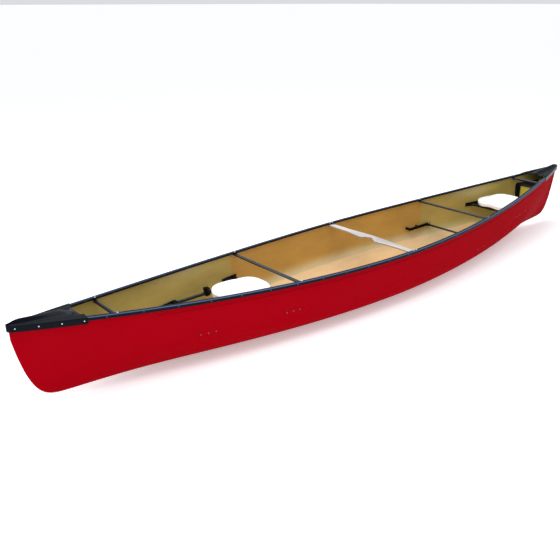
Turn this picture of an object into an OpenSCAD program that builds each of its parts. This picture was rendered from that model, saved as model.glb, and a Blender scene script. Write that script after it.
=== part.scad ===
// Long touring canoe: laminated hull, riveted gunwales and decks, sliding bow seat,
// fixed stern seat, portage yoke, foot brace and a stern flotation tank.
// +X points to the bow, +Y to port and +Z up; the keel touches z = 0 amidships.

/* [Hull] */
// Length over the two deck tips
hull_length = 6096; // [5000:4:6600]
// Beam over the gunwales amidships
beam = 992; // [820:2:1150]
// Depth amidships, from the keel to the sheer line
depth = 447; // [380:1:520]
// Rise of the sheer line from amidships to the tips
sheer_rise = 145; // [60:1:220]
// Rise of the keel line towards the ends
rocker = 83; // [20:1:110]
// Length of the rounded forefoot at each end
forefoot = 366; // [250:2:450]
// Fullness of the plan shape, a power of the distance from amidships
plan_power = 1.8; // [1.6:0.05:2.2]
// Thickness of the outer laminate
skin_t = 2.6; // [2:0.1:5]
// Thickness of the inner laminate
liner_t = 1.2; // [0.8:0.1:3]

/* [Floor] */
// Half length of the stiffening floor panel
floor_half_length = 1980; // [1200:10:2100]
// Thickness of the floor panel
floor_t = 6; // [4:0.5:12]

/* [Gunwales] */
// Width of the outer rail
outwale_w = 14; // [10:0.5:20]
// Height of the outer rail
outwale_h = 22; // [18:0.5:28]
// Width of the inner rail
inwale_w = 17; // [14:0.5:24]
// Height of the inner rail
inwale_h = 14; // [10:0.5:18]
// Height that both rails stand above the hull's edge
wale_lip = 3; // [1:0.5:5]
// Distance between gunwale rivets
rivet_pitch = 218.4; // [150:0.4:300]
// Radius of a rivet's shank
rivet_r = 2.4; // [1.6:0.1:3]

/* [Decks] */
// Length of the bow deck
bow_deck_l = 428; // [300:2:520]
// Length of the stern deck
stern_deck_l = 474; // [300:2:520]
// Wall of the deck mouldings
deck_t = 2.5; // [2:0.1:4]
// Depth of the deck's skirt over the outer rail
skirt_h = 42; // [32:1:60]
// Height of the deck's crown
crown_h = 27; // [10:1:40]

/* [Thwarts and yoke] */
// Distance from amidships to each thwart
thwart_x = 1147; // [1000:1:1230]
// Distance from amidships to each carry handle
handle_x = 2438; // [2300:1:2460]
// Outer radius of the carry handles
handle_r = 12.7; // [10:0.1:15]
// Wall of the tubes
tube_wall = 1.8; // [1.2:0.1:3]
// Width of the thwarts
thwart_w = 30; // [22:1:40]
// Thickness of the thwarts
thwart_t = 12; // [9:0.5:18]
// Thickness of the yoke
yoke_t = 19; // [15:0.5:25]
// Width of the yoke at its ends
yoke_end_w = 62; // [50:1:80]
// Width of the yoke at the shoulders
yoke_shoulder_w = 104; // [90:1:130]
// Depth of the neck scoop in the yoke
neck_scoop = 46; // [30:1:60]

/* [Seats] */
// Length of a seat pan, front to back
pan_l = 396; // [340:2:440]
// Width of a seat pan
pan_w = 436; // [360:2:460]
// Wall of a seat pan
pan_t = 4; // [3:0.2:6]
// Depth of the pan's turned-down skirt
pan_skirt = 34; // [20:1:45]
// Distance from amidships to the middle of the bow seat
bow_seat_x = 1380; // [1340:2:1420]
// Distance from amidships to the middle of the stern seat
stern_seat_x = 1986; // [1950:2:2020]
// Drop of the bow seat's rim below the centre sheer
bow_seat_drop = 100; // [80:1:140]
// Drop of the stern seat's rim below the centre sheer
stern_seat_drop = 63; // [50:1:90]
// Distance between the two cross tubes under a seat
seat_tube_gap = 246; // [200:2:280]
// Outer radius of the seat tubes and slide rails
seat_tube_r = 12.7; // [10:0.1:14]
// Half distance between the slide rails as a share of the beam
rail_share = 0.272; // [0.264:0.001:0.282]
// Radial clearance between a slide rail and its saddle
rail_fit = 0.1; // [0.05:0.01:0.3]

/* [Foot brace] */
// Distance from amidships to the foot bar
foot_bar_x = 1250; // [1180:2:1280]
// Height of the foot bar above the keel line
foot_bar_z = 200; // [180:1:230]
// Outer radius of the foot bar
foot_bar_r = 9.5; // [7:0.1:12]
// Length of each foot brace track
track_l = 318; // [260:2:360]

/* [Flotation] */
// Distance from amidships to the tank's bow-facing wall
tank_x = 2484; // [2470:1:2520]
// Height of the tank's top
tank_z = 459; // [420:1:480]
// Wall of the tank
tank_t = 3.5; // [2.5:0.1:6]
// Radius of the drain plug's cap
plug_r = 15; // [10:0.5:20]

/* [Hidden] */

half_l = hull_length / 2;
tip_half = 16;               // half width over the gunwales at the very tips
skin_end = half_l - 12;      // the laminate stops inside the deck tips
cavity_end = half_l - 150;   // the stems are solid past this
stem_power = 5.07;           // how sharply the forefoot turns up into the stem
fit = 0.3;                   // gap between pieces that move or only lie close
grip = 0.02;                 // gap between pieces that touch
wale_top = wale_lip;
out_bottom = wale_lip - outwale_h;
in_bottom = wale_lip - inwale_h;

side_n = 12;                 // section steps from the sheer to the keel
body_n = 21;                 // station steps from amidships to the end of the cavity
stem_n = 5;                  // station steps along each solid stem

// ---- lines of the hull -------------------------------------------------------

function t(x) = min(1, abs(x) / half_l);
function clamp01(v) = max(0, min(1, v));
function wale_half(x) = tip_half + (beam / 2 - tip_half) * (1 - pow(t(x), plan_power));
function sheer(x) = depth + sheer_rise * pow(t(x), 2);
function keel_base(x) = rocker * pow(t(x), 3);
function stem_rise(x) = pow(clamp01((abs(x) - half_l + forefoot) / (forefoot + 4)), stem_power);
function keel(x) = keel_base(x) + (sheer(x) + 10 - keel_base(x)) * stem_rise(x);
function keel_slope(x) = (keel(abs(x) + 0.5) - keel(abs(x) - 0.5));

// Half width and keel height of the surface that lies `inset` inside the hull.
function half_in(x, inset) = max(0.6, wale_half(x) - outwale_w - inset);
function keel_in(x, inset) = keel(x) + inset * sqrt(1 + pow(keel_slope(x), 2));

// A section is a superellipse, boxy amidships and a fine V at the ends.
function round_n(x) = 1.9 - 0.8 * pow(t(x), 2);
function round_m(x) = max(0.6, 7.2 - 7.1 * pow(t(x), 2));
// A flat strip along the keel, one step wide either side, dies out towards the ends.
function flat_cos(x) = 1 - (1 - cos(angle(x, spread(1)))) * (1 - pow(t(x), 2));
function section(x, a, inset) = [
    half_in(x, inset) * pow(max(0, sin(a)), 2 / round_n(x)),
    sheer(x) - (sheer(x) - keel_in(x, inset))
        * pow(min(1, max(0, cos(a)) / flat_cos(x)), 2 / round_m(x))
];
// Half width of that surface at a height z.
function width_at(x, z, inset) =
    let (u = clamp01((sheer(x) - z) / (sheer(x) - keel_in(x, inset))),
         c = pow(u, round_m(x) / 2) * flat_cos(x))
    half_in(x, inset) * pow(max(0, 1 - c * c), 1 / round_n(x));

// Section angles crowd towards the sheer where the sides are boxy.
function spread(j) = pow(j / side_n, 1.3);
function angle(x, v) = 90 * (1 - pow(1 - v, 3.2 - 1.9 * pow(t(x), 2)));
function section_row(x, inset) = concat(
    [for (j = [side_n : -1 : 0]) let (p = section(x, angle(x, spread(j)), inset)) [x, p.x, p.y]],
    [for (j = [1 : side_n]) let (p = section(x, angle(x, spread(j)), inset)) [x, -p.x, p.y]]
);

// Stations crowd towards the ends.
function body_x(i, end) = end * sign(i) * (1 - pow(1 - abs(i) / body_n, 1.25));
function body_stations(end) = [for (i = [-body_n : body_n]) body_x(i, end)];
function stem_x(i) = cavity_end + 3 + (skin_end - cavity_end - 3) * (1 - pow(1 - i / stem_n, 1.2));
function skin_stations() = concat(
    [for (i = [-stem_n : -1]) -stem_x(-i)],
    [for (x = body_stations(cavity_end + 3)) x],
    [for (i = [1 : stem_n]) stem_x(i)]
);

// ---- surfaces and solids -------------------------------------------------------

function flat(rows) = [for (r = rows) for (p = r) p];
function quad(a, b, c, d) = [[a, b, c], [a, c, d]];
function quad_back(a, b, c, d) = [[a, c, b], [a, d, c]];

// Faces of a grid of nu rows of nv points that starts at index o.
function sheet_faces(nu, nv, o, back) = [
    for (i = [0 : nu - 2]) for (j = [0 : nv - 2])
        let (a = o + i * nv + j, q = back ? quad_back(a, a + 1, a + nv + 1, a + nv)
                                          : quad(a, a + 1, a + nv + 1, a + nv))
            for (f = q) f
];
// Faces that close one symmetric row of nv points, edge to edge.
function cap_faces(nv, o, back) = [
    for (j = [0 : (nv - 1) / 2 - 1])
        let (a = o + j, b = o + j + 1, c = o + nv - 2 - j, d = o + nv - 1 - j,
             q = b == c ? [back ? [a, c, d] : [a, d, c]]
                        : back ? [[a, b, c], [a, c, d]] : [[a, c, b], [a, d, c]])
            for (f = q) f
];

// A tub: an outer grid with `extra` more rows at each end than the inner grid.
module tub(outer, inner, extra) {
    nv = len(outer[0]);
    no = len(outer);
    ni = len(inner);
    o = no * nv;
    last = o + (ni - 1) * nv;
    first_row = extra * nv;
    last_row = (no - 1 - extra) * nv;
    faces = concat(
        sheet_faces(no, nv, 0, false),
        sheet_faces(ni, nv, o, true),
        cap_faces(nv, 0, false),
        cap_faces(nv, (no - 1) * nv, true),
        cap_faces(nv, o, true),
        cap_faces(nv, last, false),
        [for (i = [0 : ni - 2])
            let (a = (i + extra) * nv, b = o + i * nv)
                for (f = quad(a, a + nv, b + nv, b)) f],
        [for (i = [0 : ni - 2])
            let (a = (i + extra) * nv + nv - 1, b = o + i * nv + nv - 1)
                for (f = quad_back(a, a + nv, b + nv, b)) f],
        quad(first_row + nv - 1, first_row, o, o + nv - 1),
        quad(last_row, last_row + nv - 1, last + nv - 1, last),
        [for (i = [0 : no - 2])
            if (i < extra || i >= no - 1 - extra)
                let (a = i * nv)
                    for (f = quad(a, a + nv, a + nv + nv - 1, a + nv - 1)) f]
    );
    polyhedron(points = concat(flat(outer), flat(inner)), faces = faces);
}

// A plate between two grids of the same size, closed along all four edges.
module plate(upper, lower) {
    nu = len(upper);
    nv = len(upper[0]);
    o = nu * nv;
    end = (nu - 1) * nv;
    faces = concat(
        sheet_faces(nu, nv, 0, true),
        sheet_faces(nu, nv, o, false),
        [for (i = [0 : nu - 2]) let (a = i * nv)
            for (f = quad_back(a, a + nv, o + a + nv, o + a)) f],
        [for (i = [0 : nu - 2]) let (a = i * nv + nv - 1)
            for (f = quad(a, a + nv, o + a + nv, o + a)) f],
        [for (j = [0 : nv - 2]) for (f = quad(j, j + 1, o + j + 1, o + j)) f],
        [for (j = [0 : nv - 2]) let (a = end + j)
            for (f = quad_back(a, a + 1, o + a + 1, o + a)) f]
    );
    polyhedron(points = concat(flat(upper), flat(lower)), faces = faces);
}

// A bar: closed rings of the same number of points, one at each station.
module bar(rings) {
    n = len(rings[0]);
    m = len(rings);
    faces = concat(
        [for (i = [0 : m - 2]) for (j = [0 : n - 1])
            let (k = (j + 1) % n)
                for (f = quad(i * n + j, (i + 1) * n + j, (i + 1) * n + k, i * n + k)) f],
        [[for (j = [0 : n - 1]) j]],
        [[for (j = [n - 1 : -1 : 0]) (m - 1) * n + j]]
    );
    polyhedron(points = flat(rings), faces = faces);
}

// A loop of rings that closes on itself, such as a rim turned under.
module ring_loop(rings) {
    n = len(rings[0]);
    m = len(rings);
    faces = [for (i = [0 : m - 1]) for (j = [0 : n - 1])
        let (k = (j + 1) % n, p = (i + 1) % m)
            for (f = quad(i * n + j, p * n + j, p * n + k, i * n + k)) f];
    polyhedron(points = flat(rings), faces = faces);
}

module along_y(l) rotate([90, 0, 0]) translate([0, 0, -l / 2]) children();
module along_x(l) rotate([0, 90, 0]) translate([0, 0, -l / 2]) children();
module both_sides() {
    children();
    mirror([0, 1, 0]) children();
}
module tube(r, wall, l) difference() {
    cylinder(r = r, h = l, $fn = 48);
    translate([0, 0, -1]) cylinder(r = r - wall, h = l + 2, $fn = 48);
}

// A rivet or bolt along +Z: a domed head at each end of a shank, its grip from z0 to z1.
module domed_fastener(r, head_r, head_h, z0, z1) {
    translate([0, 0, z0 - 0.1]) cylinder(r = r, h = z1 - z0 + 0.2, $fn = 20);
    translate([0, 0, z1]) dome(head_r, head_h);
    translate([0, 0, z0]) mirror([0, 0, 1]) dome(head_r, head_h);
}
module dome(r, h) rotate_extrude($fn = 20) polygon(
    [[0, 0], [r, 0], [r, h * 0.3], [r * 0.8, h * 0.75], [r * 0.45, h * 0.97], [0, h]]
);

// ---- hull ----------------------------------------------------------------------

function liner_outer() = [for (x = body_stations(cavity_end)) section_row(x, skin_t)];
function liner_inner() = [for (x = body_stations(cavity_end - liner_t))
    section_row(x, skin_t + liner_t)];
shell_t = skin_t + liner_t;

module hull_skin() color("crimson")
    tub([for (x = skin_stations()) section_row(x, 0)], liner_outer(), stem_n);

module hull_liner() color("darkkhaki") tub(liner_outer(), liner_inner(), 0);

// The floor panel lies on the liner and feathers out at its edge.
floor_rows = [for (i = [-body_n : body_n])
    if (abs(body_x(i, cavity_end - liner_t)) < floor_half_length) i];
floor_side = 5;
function floor_row(i, raise) =
    let (x = body_x(i, cavity_end - liner_t), row = section_row(x, shell_t),
         end = abs(i) == max(floor_rows) ? 0.12 : 1)
    [for (j = [-floor_side : floor_side])
        let (p = row[side_n + j], edge = abs(j) == floor_side ? 0.12 : 1)
            [p.x, p.y, p.z + raise * edge * end]];
module floor_panel() color("burlywood")
    plate([for (i = floor_rows) floor_row(i, floor_t)], [for (i = floor_rows) floor_row(i, 0)]);

// ---- gunwales ------------------------------------------------------------------

outwale_end = half_l - 32;
inwale_end = half_l - 190;

// Outer rail: flat inside, rounded outside, against the skin's edge.
function outwale_ring(x) =
    let (y = wale_half(x) - outwale_w + grip, w = outwale_w - grip, z = sheer(x),
         low = out_bottom, top = wale_top)
    [for (p = [[0, low], [w - 3, low], [w - 0.8, low + 1], [w, low + 4], [w, top - 6],
               [w - 1.4, top - 2.2], [w - 4.5, top], [1.2, top], [0, top - 1.2]])
        [x, y + p.x, z + p.y]];
module outwale() bar([for (x = body_stations(outwale_end)) outwale_ring(x)]);
module outwale_port() color("darkslategray") outwale();
module outwale_starboard() color("darkslategray") mirror([0, 1, 0]) outwale();

// Inner rail: its outer face follows the liner down.
function inwale_ring(x) =
    let (y = half_in(x, shell_t) - grip, w = inwale_w, z = sheer(x), low = in_bottom,
         lean = y - width_at(x, z + low, shell_t), top = wale_top)
    [for (p = [[-lean, low], [0, -0.5], [0, top - 1.2], [-1.2, top], [-w + 4, top],
               [-w + 1.2, top - 1.6], [-w, top - 4], [-w, low + 2.5], [-w + 2.5, low]])
        [x, y + p.x, z + p.y]];
module inwale() bar([for (x = body_stations(inwale_end)) inwale_ring(x)]);
module inwale_port() color("darkslategray") inwale();
module inwale_starboard() color("darkslategray") mirror([0, 1, 0]) inwale();

// Rivets through both rails, one pitch apart, half a pitch from amidships.
deck_rear = [half_l - bow_deck_l, half_l - stern_deck_l];
rivet_last = floor((min(deck_rear) - 20) / rivet_pitch - 0.5);
rivet_drop = (wale_top + out_bottom) / 2 + 1;
module gunwale_rivet(x) {
    y_out = wale_half(x);
    y_in = half_in(x, shell_t) - inwale_w;
    translate([x, 0, sheer(x) + rivet_drop + 1.6]) rotate([-90, 0, 0])
        domed_fastener(rivet_r, 5, 2, y_in + 0.2, y_out - 0.2);
}
module gunwale_rivets() for (i = [-rivet_last - 1 : rivet_last])
    gunwale_rivet((i + 0.5) * rivet_pitch);
module gunwale_rivets_port() color("dimgray") gunwale_rivets();
module gunwale_rivets_starboard() color("dimgray") mirror([0, 1, 0]) gunwale_rivets();

// ---- decks ---------------------------------------------------------------------

deck_n = 16;
across_n = 10;
nose_r = 26;
deck_over = wale_top + 0.3 + deck_t;     // top of the moulding over the sheer

// Half width of the moulding, rounded in plan at the nose.
function deck_half(x, off) =
    let (b = wale_half(x) + 0.3 + deck_t, d = max(0, abs(x) - half_l + nose_r) / nose_r)
    max(5, b * sqrt(max(0.02, 1 - d * d))) - off;
function bump(v) = v >= 1 ? 0 : pow(cos(90 * v), 2);
function smooth(v) = let (c = clamp01(v)) c * c * (3 - 2 * c);
// Height over the rim: a crown down the middle, which keeps a share of its height, arch, at
// the rear edge, and a low flange down each side.
flange_share = 0.5;
function deck_crown(u, s, arch) =
    crown_h * (arch + (1 - arch) * smooth(s / 0.3)) * (1 - smooth((s - 0.82) / 0.2) * 0.75)
        * bump(u / 0.55)
    + crown_h * flange_share * (1 - 0.85 * smooth(s / 0.95)) * bump(abs(u - 0.78) / 0.24);
// Half of a cross-section from the skirt's lower edge to the middle.
function deck_half_row(x, len_x, off, arch) =
    let (b = deck_half(x, off), s = (abs(x) - half_l + len_x) / len_x,
         z = sheer(x) + deck_over - off, er = min(5 - off * 0.8, b * 0.45))
    concat(
        [[b, sheer(x) + deck_over - skirt_h], [b, z - er], [b - er * 0.3, z - er * 0.3]],
        [for (j = [0 : across_n]) let (u = 1 - j / across_n)
            [u * (b - er), z + deck_crown(u, s, arch)]]
    );
function deck_row(x, len_x, off, arch) =
    let (h = deck_half_row(x, len_x, off, arch), n = len(h))
    concat([for (p = h) [x, p.x, p.y]], [for (i = [n - 2 : -1 : 0]) [x, -h[i].x, h[i].y]]);
function deck_stations(len_x, end) = [for (i = [0 : deck_n])
    end - (end - half_l + len_x) * pow(1 - i / deck_n, 1.35)];

// The moulding: two grids closed at the nose and open underneath and at the back.
module deck(len_x, arch) {
    outer = [for (x = deck_stations(len_x, half_l)) deck_row(x, len_x, 0, arch)];
    inner = [for (x = deck_stations(len_x, half_l - 4)) deck_row(x, len_x, deck_t, arch)];
    nu = len(outer);
    nv = len(outer[0]);
    o = nu * nv;
    end = (nu - 1) * nv;
    faces = concat(
        sheet_faces(nu, nv, 0, true),
        sheet_faces(nu, nv, o, false),
        [for (i = [0 : nu - 2]) let (a = i * nv)
            for (f = quad_back(a, a + nv, o + a + nv, o + a)) f],
        [for (i = [0 : nu - 2]) let (a = i * nv + nv - 1)
            for (f = quad(a, a + nv, o + a + nv, o + a)) f],
        [for (j = [0 : nv - 2]) for (f = quad(j, j + 1, o + j + 1, o + j)) f],
        cap_faces(nv, end, false),
        cap_faces(nv, o + end, true),
        quad_back(end, end + nv - 1, o + end + nv - 1, o + end)
    );
    polyhedron(points = concat(flat(outer), flat(inner)), faces = faces);
}
module bow_deck() color("darkslategray") deck(bow_deck_l, 0);
module stern_deck() color("darkslategray") mirror([1, 0, 0]) deck(stern_deck_l, 0.6);

// Four rivets along each skirt and a screw on each rear corner.
deck_rivet_pitch = 124;
module deck_rivet_set(len_x) {
    for (i = [0 : 3]) {
        x = half_l - 39 - i * min(deck_rivet_pitch, (len_x - 60) / 3);
        translate([x, 0, sheer(x) + deck_over - skirt_h / 2]) rotate([-90, 0, 0])
            domed_fastener(rivet_r, 4.5, 1.8, half_in(x, 0) - 2.3, deck_half(x, 0) - 0.2);
    }
    x = half_l - len_x + 9;
    translate([x, half_in(x, shell_t) - inwale_w / 2, sheer(x)])
        domed_fastener(rivet_r, 4.5, 1.8, in_bottom, deck_over + 0.4);
}
module deck_rivets() color("silver") {
    both_sides() deck_rivet_set(bow_deck_l);
    mirror([1, 0, 0]) both_sides() deck_rivet_set(stern_deck_l);
}

// ---- thwarts, handles and yoke ---------------------------------------------------

function seat_of_bar(x) = sheer(x) + in_bottom - grip;   // underside of the inner rail
function bar_half(x, w, z) = min(width_at(abs(x) + w / 2, z, shell_t),
                                 width_at(abs(x) - w / 2, z, shell_t)) - 1;

module handle(x) {
    z = seat_of_bar(abs(x)) - handle_r - 0.1;
    l = 2 * bar_half(x, 2 * handle_r, z - handle_r);
    translate([x, 0, z]) along_y(l) tube(handle_r, tube_wall, l);
}
module bow_handle() color("slategray") handle(handle_x);
module stern_handle() color("slategray") handle(-handle_x);

// Thwart: a flat extrusion with grooves along its top.
function thwart_outline() = let (w = thwart_w / 2, h = thwart_t, g = thwart_w / 10)
    concat([[-w, -h + 2], [-w + 2, -h], [w - 2, -h], [w, -h + 2], [w, -1.5], [w - 1.5, 0]],
           [for (k = [1.5 : -1 : -1.5]) for (p = [[0.5, 0], [0.3, -1.2], [-0.3, -1.2], [-0.5, 0]])
               [(2 * k + p.x) * g, p.y]],
           [[-w + 1.5, 0], [-w, -1.5]]);
function thwart_seat(x) = min(seat_of_bar(abs(x) - thwart_w / 2), seat_of_bar(abs(x) + thwart_w / 2));
module thwart(x) {
    z = thwart_seat(x);
    l = 2 * bar_half(x, thwart_w, z - thwart_t);
    translate([x, 0, z]) along_y(l) linear_extrude(height = l) polygon(thwart_outline());
}
module front_thwart() color("darkslategray") thwart(thwart_x);
module rear_thwart() color("darkslategray") thwart(-thwart_x);

// Yoke: edges swell towards the shoulders; a scoop in the bow edge takes the neck.
yoke_z = seat_of_bar(0);
yoke_half = bar_half(0, yoke_end_w, yoke_z - yoke_t);
shoulder_y = 150;
scoop_y = 92;
yoke_steps = 48;
function yoke_swell(y) = (yoke_shoulder_w - yoke_end_w) / 2 * exp(-pow(y / shoulder_y / 1.35, 4));
function yoke_scoop(y) = neck_scoop * bump(abs(y) / scoop_y);
module yoke() color("tan") translate([0, 0, yoke_z - yoke_t]) linear_extrude(height = yoke_t)
    polygon(concat(
        [for (i = [-yoke_steps : yoke_steps]) let (y = yoke_half * i / yoke_steps)
            [yoke_end_w / 2 + yoke_swell(y) - yoke_scoop(y), y]],
        [for (i = [yoke_steps : -1 : -yoke_steps]) let (y = yoke_half * i / yoke_steps)
            [-yoke_end_w / 2 - yoke_swell(y), y]]
    ));

// Bolts down through the inner rail into what hangs from it.
bolt_r = 3.2;
module wale_bolt(x, drop) translate([x, half_in(x, shell_t) - inwale_w / 2, sheer(x)])
    domed_fastener(bolt_r, 6.5, 2.6, in_bottom - drop - 1, wale_top - 0.1);
module thwart_bolts() color("silver") both_sides() for (side = [-1, 1]) {
    wale_bolt(side * handle_x, 2 * handle_r);
    wale_bolt(side * thwart_x, thwart_t);
}
module yoke_bolts() color("silver") both_sides() for (side = [-1, 1])
    wale_bolt(side * yoke_end_w / 4, yoke_t);

// ---- seats ---------------------------------------------------------------------

pan_n = 48;
pan_dish = 16;                 // depth of the dish below the rim
drain = [15, 7];               // half sizes of the drain hole
rim_r = 7;

// Plan outline of a seat pan: wide and blunt in front, rounder at the back.
function pan_outline(a, inset) =
    let (c = cos(a), s = sin(a), e = c > 0 ? 0.74 : 0.86,
         x = sign(c) * pow(abs(c), e), y = sign(s) * pow(abs(s), 0.8),
         taper = 1 - 0.07 * (1 - x))
    [(pan_l / 2 - inset) * x, (pan_w / 2 - inset) * y * taper];
// Height of the pan over its rim: a dish, two thigh hollows and a raised back.
function pan_height(r, a) =
    let (p = pan_outline(a, 0) * r)
    -pan_dish * (1 - r * r) + 20 * smooth((-p.x / pan_l * 2 - 0.35) / 0.65) * r
    - 11 * smooth((p.x / pan_l * 2 - 0.2) / 0.8) * bump(abs(abs(p.y) - 98) / 92);
function pan_ring(r, inset, drop) = [for (i = [0 : pan_n - 1])
    let (a = -360 * i / pan_n, o = pan_outline(a, inset),
         p = r == 0 ? [drain.x * cos(a), drain.y * sin(a)] : o * r)
        [p.x, p.y, pan_height(r == 0 ? 0.05 : r, a) - drop]];
module seat_pan() ring_loop(concat(
    [for (r = [0, 0.2, 0.4, 0.6, 0.78, 0.9]) pan_ring(r, rim_r, 0)],
    [pan_ring(1, rim_r, 0), pan_ring(1, rim_r * 0.3, rim_r * 0.3), pan_ring(1, 0, rim_r)],
    [pan_ring(1, 0, pan_skirt), pan_ring(1, pan_t, pan_skirt)],
    [pan_ring(1, pan_t, rim_r + 1), pan_ring(1, rim_r + 1, pan_t)],
    [for (r = [0.9, 0.78, 0.6, 0.4, 0.2, 0]) pan_ring(r, rim_r + 1, pan_t)]
));

bow_rim_z = depth - bow_seat_drop;
stern_rim_z = depth - stern_seat_drop;
rail_z = bow_rim_z - 85;                    // axis of the slide rails
rail_y = beam * rail_share;                 // half distance between them
tube_lift = 2 * seat_tube_r + 2.6;          // cross tubes pass over the slide rails
bow_tube_z = rail_z + tube_lift;
stern_tube_z = stern_rim_z - 72;
post_y = 120;
post_r = 15;
post_bite = 1;                 // how far a post is bedded in the pan

// Posts between a pan and its cross tubes, saddled on the tubes.
module seat_post(x, y, tube_z, rim_z) {
    r = norm([x / (pan_l / 2), y / (pan_w / 2)]);
    top = rim_z + pan_height(r, atan2(y, x)) - pan_t + post_bite;
    difference() {
        translate([x, y, tube_z]) cylinder(r = post_r, h = top - tube_z, $fn = 32);
        translate([x, y, tube_z]) along_y(60) cylinder(r = seat_tube_r + grip, h = 60, $fn = 48);
    }
}
module seat_posts(tube_z, rim_z) both_sides() for (x = [-1, 1])
    seat_post(x * seat_tube_gap / 2, post_y, tube_z, rim_z);

module bow_seat_pan() color("white") translate([bow_seat_x, 0, bow_rim_z]) seat_pan();
module bow_seat_posts() color("dimgray") translate([bow_seat_x, 0, 0])
    seat_posts(bow_tube_z, bow_rim_z);
cross_tube_l = 2 * rail_y + 64;
module cross_tube(x, z, l) translate([x, 0, z]) along_y(l) tube(seat_tube_r, tube_wall, l);
module bow_seat_front_tube() color("darkslategray")
    cross_tube(bow_seat_x + seat_tube_gap / 2, bow_tube_z, cross_tube_l);
module bow_seat_rear_tube() color("darkslategray")
    cross_tube(bow_seat_x - seat_tube_gap / 2, bow_tube_z, cross_tube_l);

// Saddles carry the cross tubes and slide along the rails.
saddle_l = 34;
saddle_w = 36;
module saddle(x) difference() {
    translate([x - saddle_l / 2, rail_y - saddle_w / 2, rail_z - seat_tube_r - 5])
        cube([saddle_l, saddle_w, tube_lift + seat_tube_r * 2 + 8]);
    translate([x, rail_y, rail_z]) along_x(60)
        cylinder(r = seat_tube_r + rail_fit, h = 60, $fn = 64);
    translate([x, rail_y, bow_tube_z]) along_y(60)
        cylinder(r = seat_tube_r + grip, h = 60, $fn = 48);
}
module bow_seat_saddles() color("dimgray") both_sides() for (x = [-1, 1])
    saddle(bow_seat_x + x * seat_tube_gap / 2);

// Slide rails run from sockets on the hull's sides back to a cross tube.
rail_tube_x = thwart_x + 18;
rail_back = rail_tube_x + seat_tube_r + grip;
// Where the hull's side comes in to the rail, found by halving.
function side_meets(y, z, lo, hi, k) = k == 0 ? lo :
    let (m = (lo + hi) / 2)
    width_at(m, z, shell_t) > y ? side_meets(y, z, m, hi, k - 1) : side_meets(y, z, lo, m, k - 1);
rail_front = side_meets(rail_y + seat_tube_r + 3, rail_z, rail_back, half_l, 12) - 6;
module slide_rail() translate([(rail_back + rail_front) / 2, rail_y, rail_z])
    along_x(rail_front - rail_back) tube(seat_tube_r, tube_wall, rail_front - rail_back);
module slide_rail_port() color("darkslategray") slide_rail();
module slide_rail_starboard() color("darkslategray") mirror([0, 1, 0]) slide_rail();

// A wall plate that follows the hull's side in plan, from x0 to x1, around height z.
wall_gap = 1.1;
plate_steps = 6;
function side_min(x, z, h) = min(width_at(x, z - h / 2, shell_t), width_at(x, z + h / 2, shell_t));
function side_line(x0, x1, z, h, inset) = [for (i = [0 : plate_steps])
    let (x = x0 + (x1 - x0) * i / plate_steps) [x, side_min(x, z, h) - inset]];
function backwards(v) = [for (i = [len(v) - 1 : -1 : 0]) v[i]];
module wall_plate(x0, x1, z, h, w) translate([0, 0, z - h / 2]) linear_extrude(height = h)
    polygon(concat(side_line(x0, x1, z, h, wall_gap), backwards(side_line(x0, x1, z, h, wall_gap + w))));

front_plate = [rail_front - 20, rail_front + 140];
rear_plate = [rail_tube_x - 32, rail_tube_x + 122];
plate_h = 40;
module rail_front_bracket() difference() {
    union() {
        wall_plate(front_plate[0], front_plate[1], rail_z, plate_h, 4);
        intersection() {
            translate([rail_front - 26, rail_y - 19, rail_z - 17]) cube([34, 60, 34]);
            wall_plate(rail_front - 26, rail_front + 8, rail_z, plate_h, 60);
        }
    }
    translate([rail_front - 30, rail_y, rail_z]) rotate([0, 90, 0])
        cylinder(r = seat_tube_r + grip, h = 30 + grip, $fn = 48);
}
module rail_front_brackets() color("darkslategray") both_sides() rail_front_bracket();

rear_tube_half = side_min(rail_tube_x, rail_z, plate_h) - 9;
module rail_rear_tube() color("darkslategray") cross_tube(rail_tube_x, rail_z, 2 * rear_tube_half);

// Tees clamp the rails' rear ends to that cross tube.
tee_wall = 3;
tee_l = 30;
module rail_tee() translate([rail_tube_x, rail_y, rail_z]) difference() {
    union() {
        along_y(36) cylinder(r = seat_tube_r + tee_wall, h = 36, $fn = 48);
        rotate([0, 90, 0]) cylinder(r = seat_tube_r + tee_wall, h = tee_l, $fn = 48);
    }
    along_y(40) cylinder(r = seat_tube_r + grip, h = 40, $fn = 48);
    rotate([0, 90, 0]) cylinder(r = seat_tube_r + grip, h = tee_l + 1, $fn = 48);
}
module rail_tees() color("dimgray") both_sides() rail_tee();

module tube_socket(x, z, l) {
    y_wall = side_min(x, z, plate_h);
    intersection() {
        translate([x, y_wall - 26, z]) rotate([-90, 0, 0]) cylinder(r = seat_tube_r + 4, h = 40, $fn = 48);
        wall_plate(x - 20, x + 20, z, plate_h, 26);
    }
}
module socket_bracket(x0, x1, x, z, tube_half) difference() {
    union() {
        wall_plate(x0, x1, z, plate_h, 4);
        tube_socket(x, z, 26);
    }
    translate([x, tube_half + grip, z]) rotate([90, 0, 0])
        cylinder(r = seat_tube_r + grip, h = 40, $fn = 48);
}
module rail_rear_brackets() color("darkslategray") both_sides()
    socket_bracket(rear_plate[0], rear_plate[1], rail_tube_x, rail_z, rear_tube_half);

// Rivets through the hull's side into a wall plate.
module side_rivet(x, z, w) translate([x, 0, z]) rotate([-90, 0, 0])
    domed_fastener(rivet_r, 5.5, 1.8, side_min(x, z, plate_h) - wall_gap - w - 0.2,
                   width_at(x, z, 0) + 0.1);
bracket_pitch = 53;
module bow_bracket_rivets() color("silver") both_sides() {
    for (i = [0 : 2]) side_rivet(front_plate[1] - 10 - i * bracket_pitch, rail_z, 4);
    for (i = [0 : 2]) side_rivet(rear_plate[1] - 10 - i * bracket_pitch, rail_z, 4);
}

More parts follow.
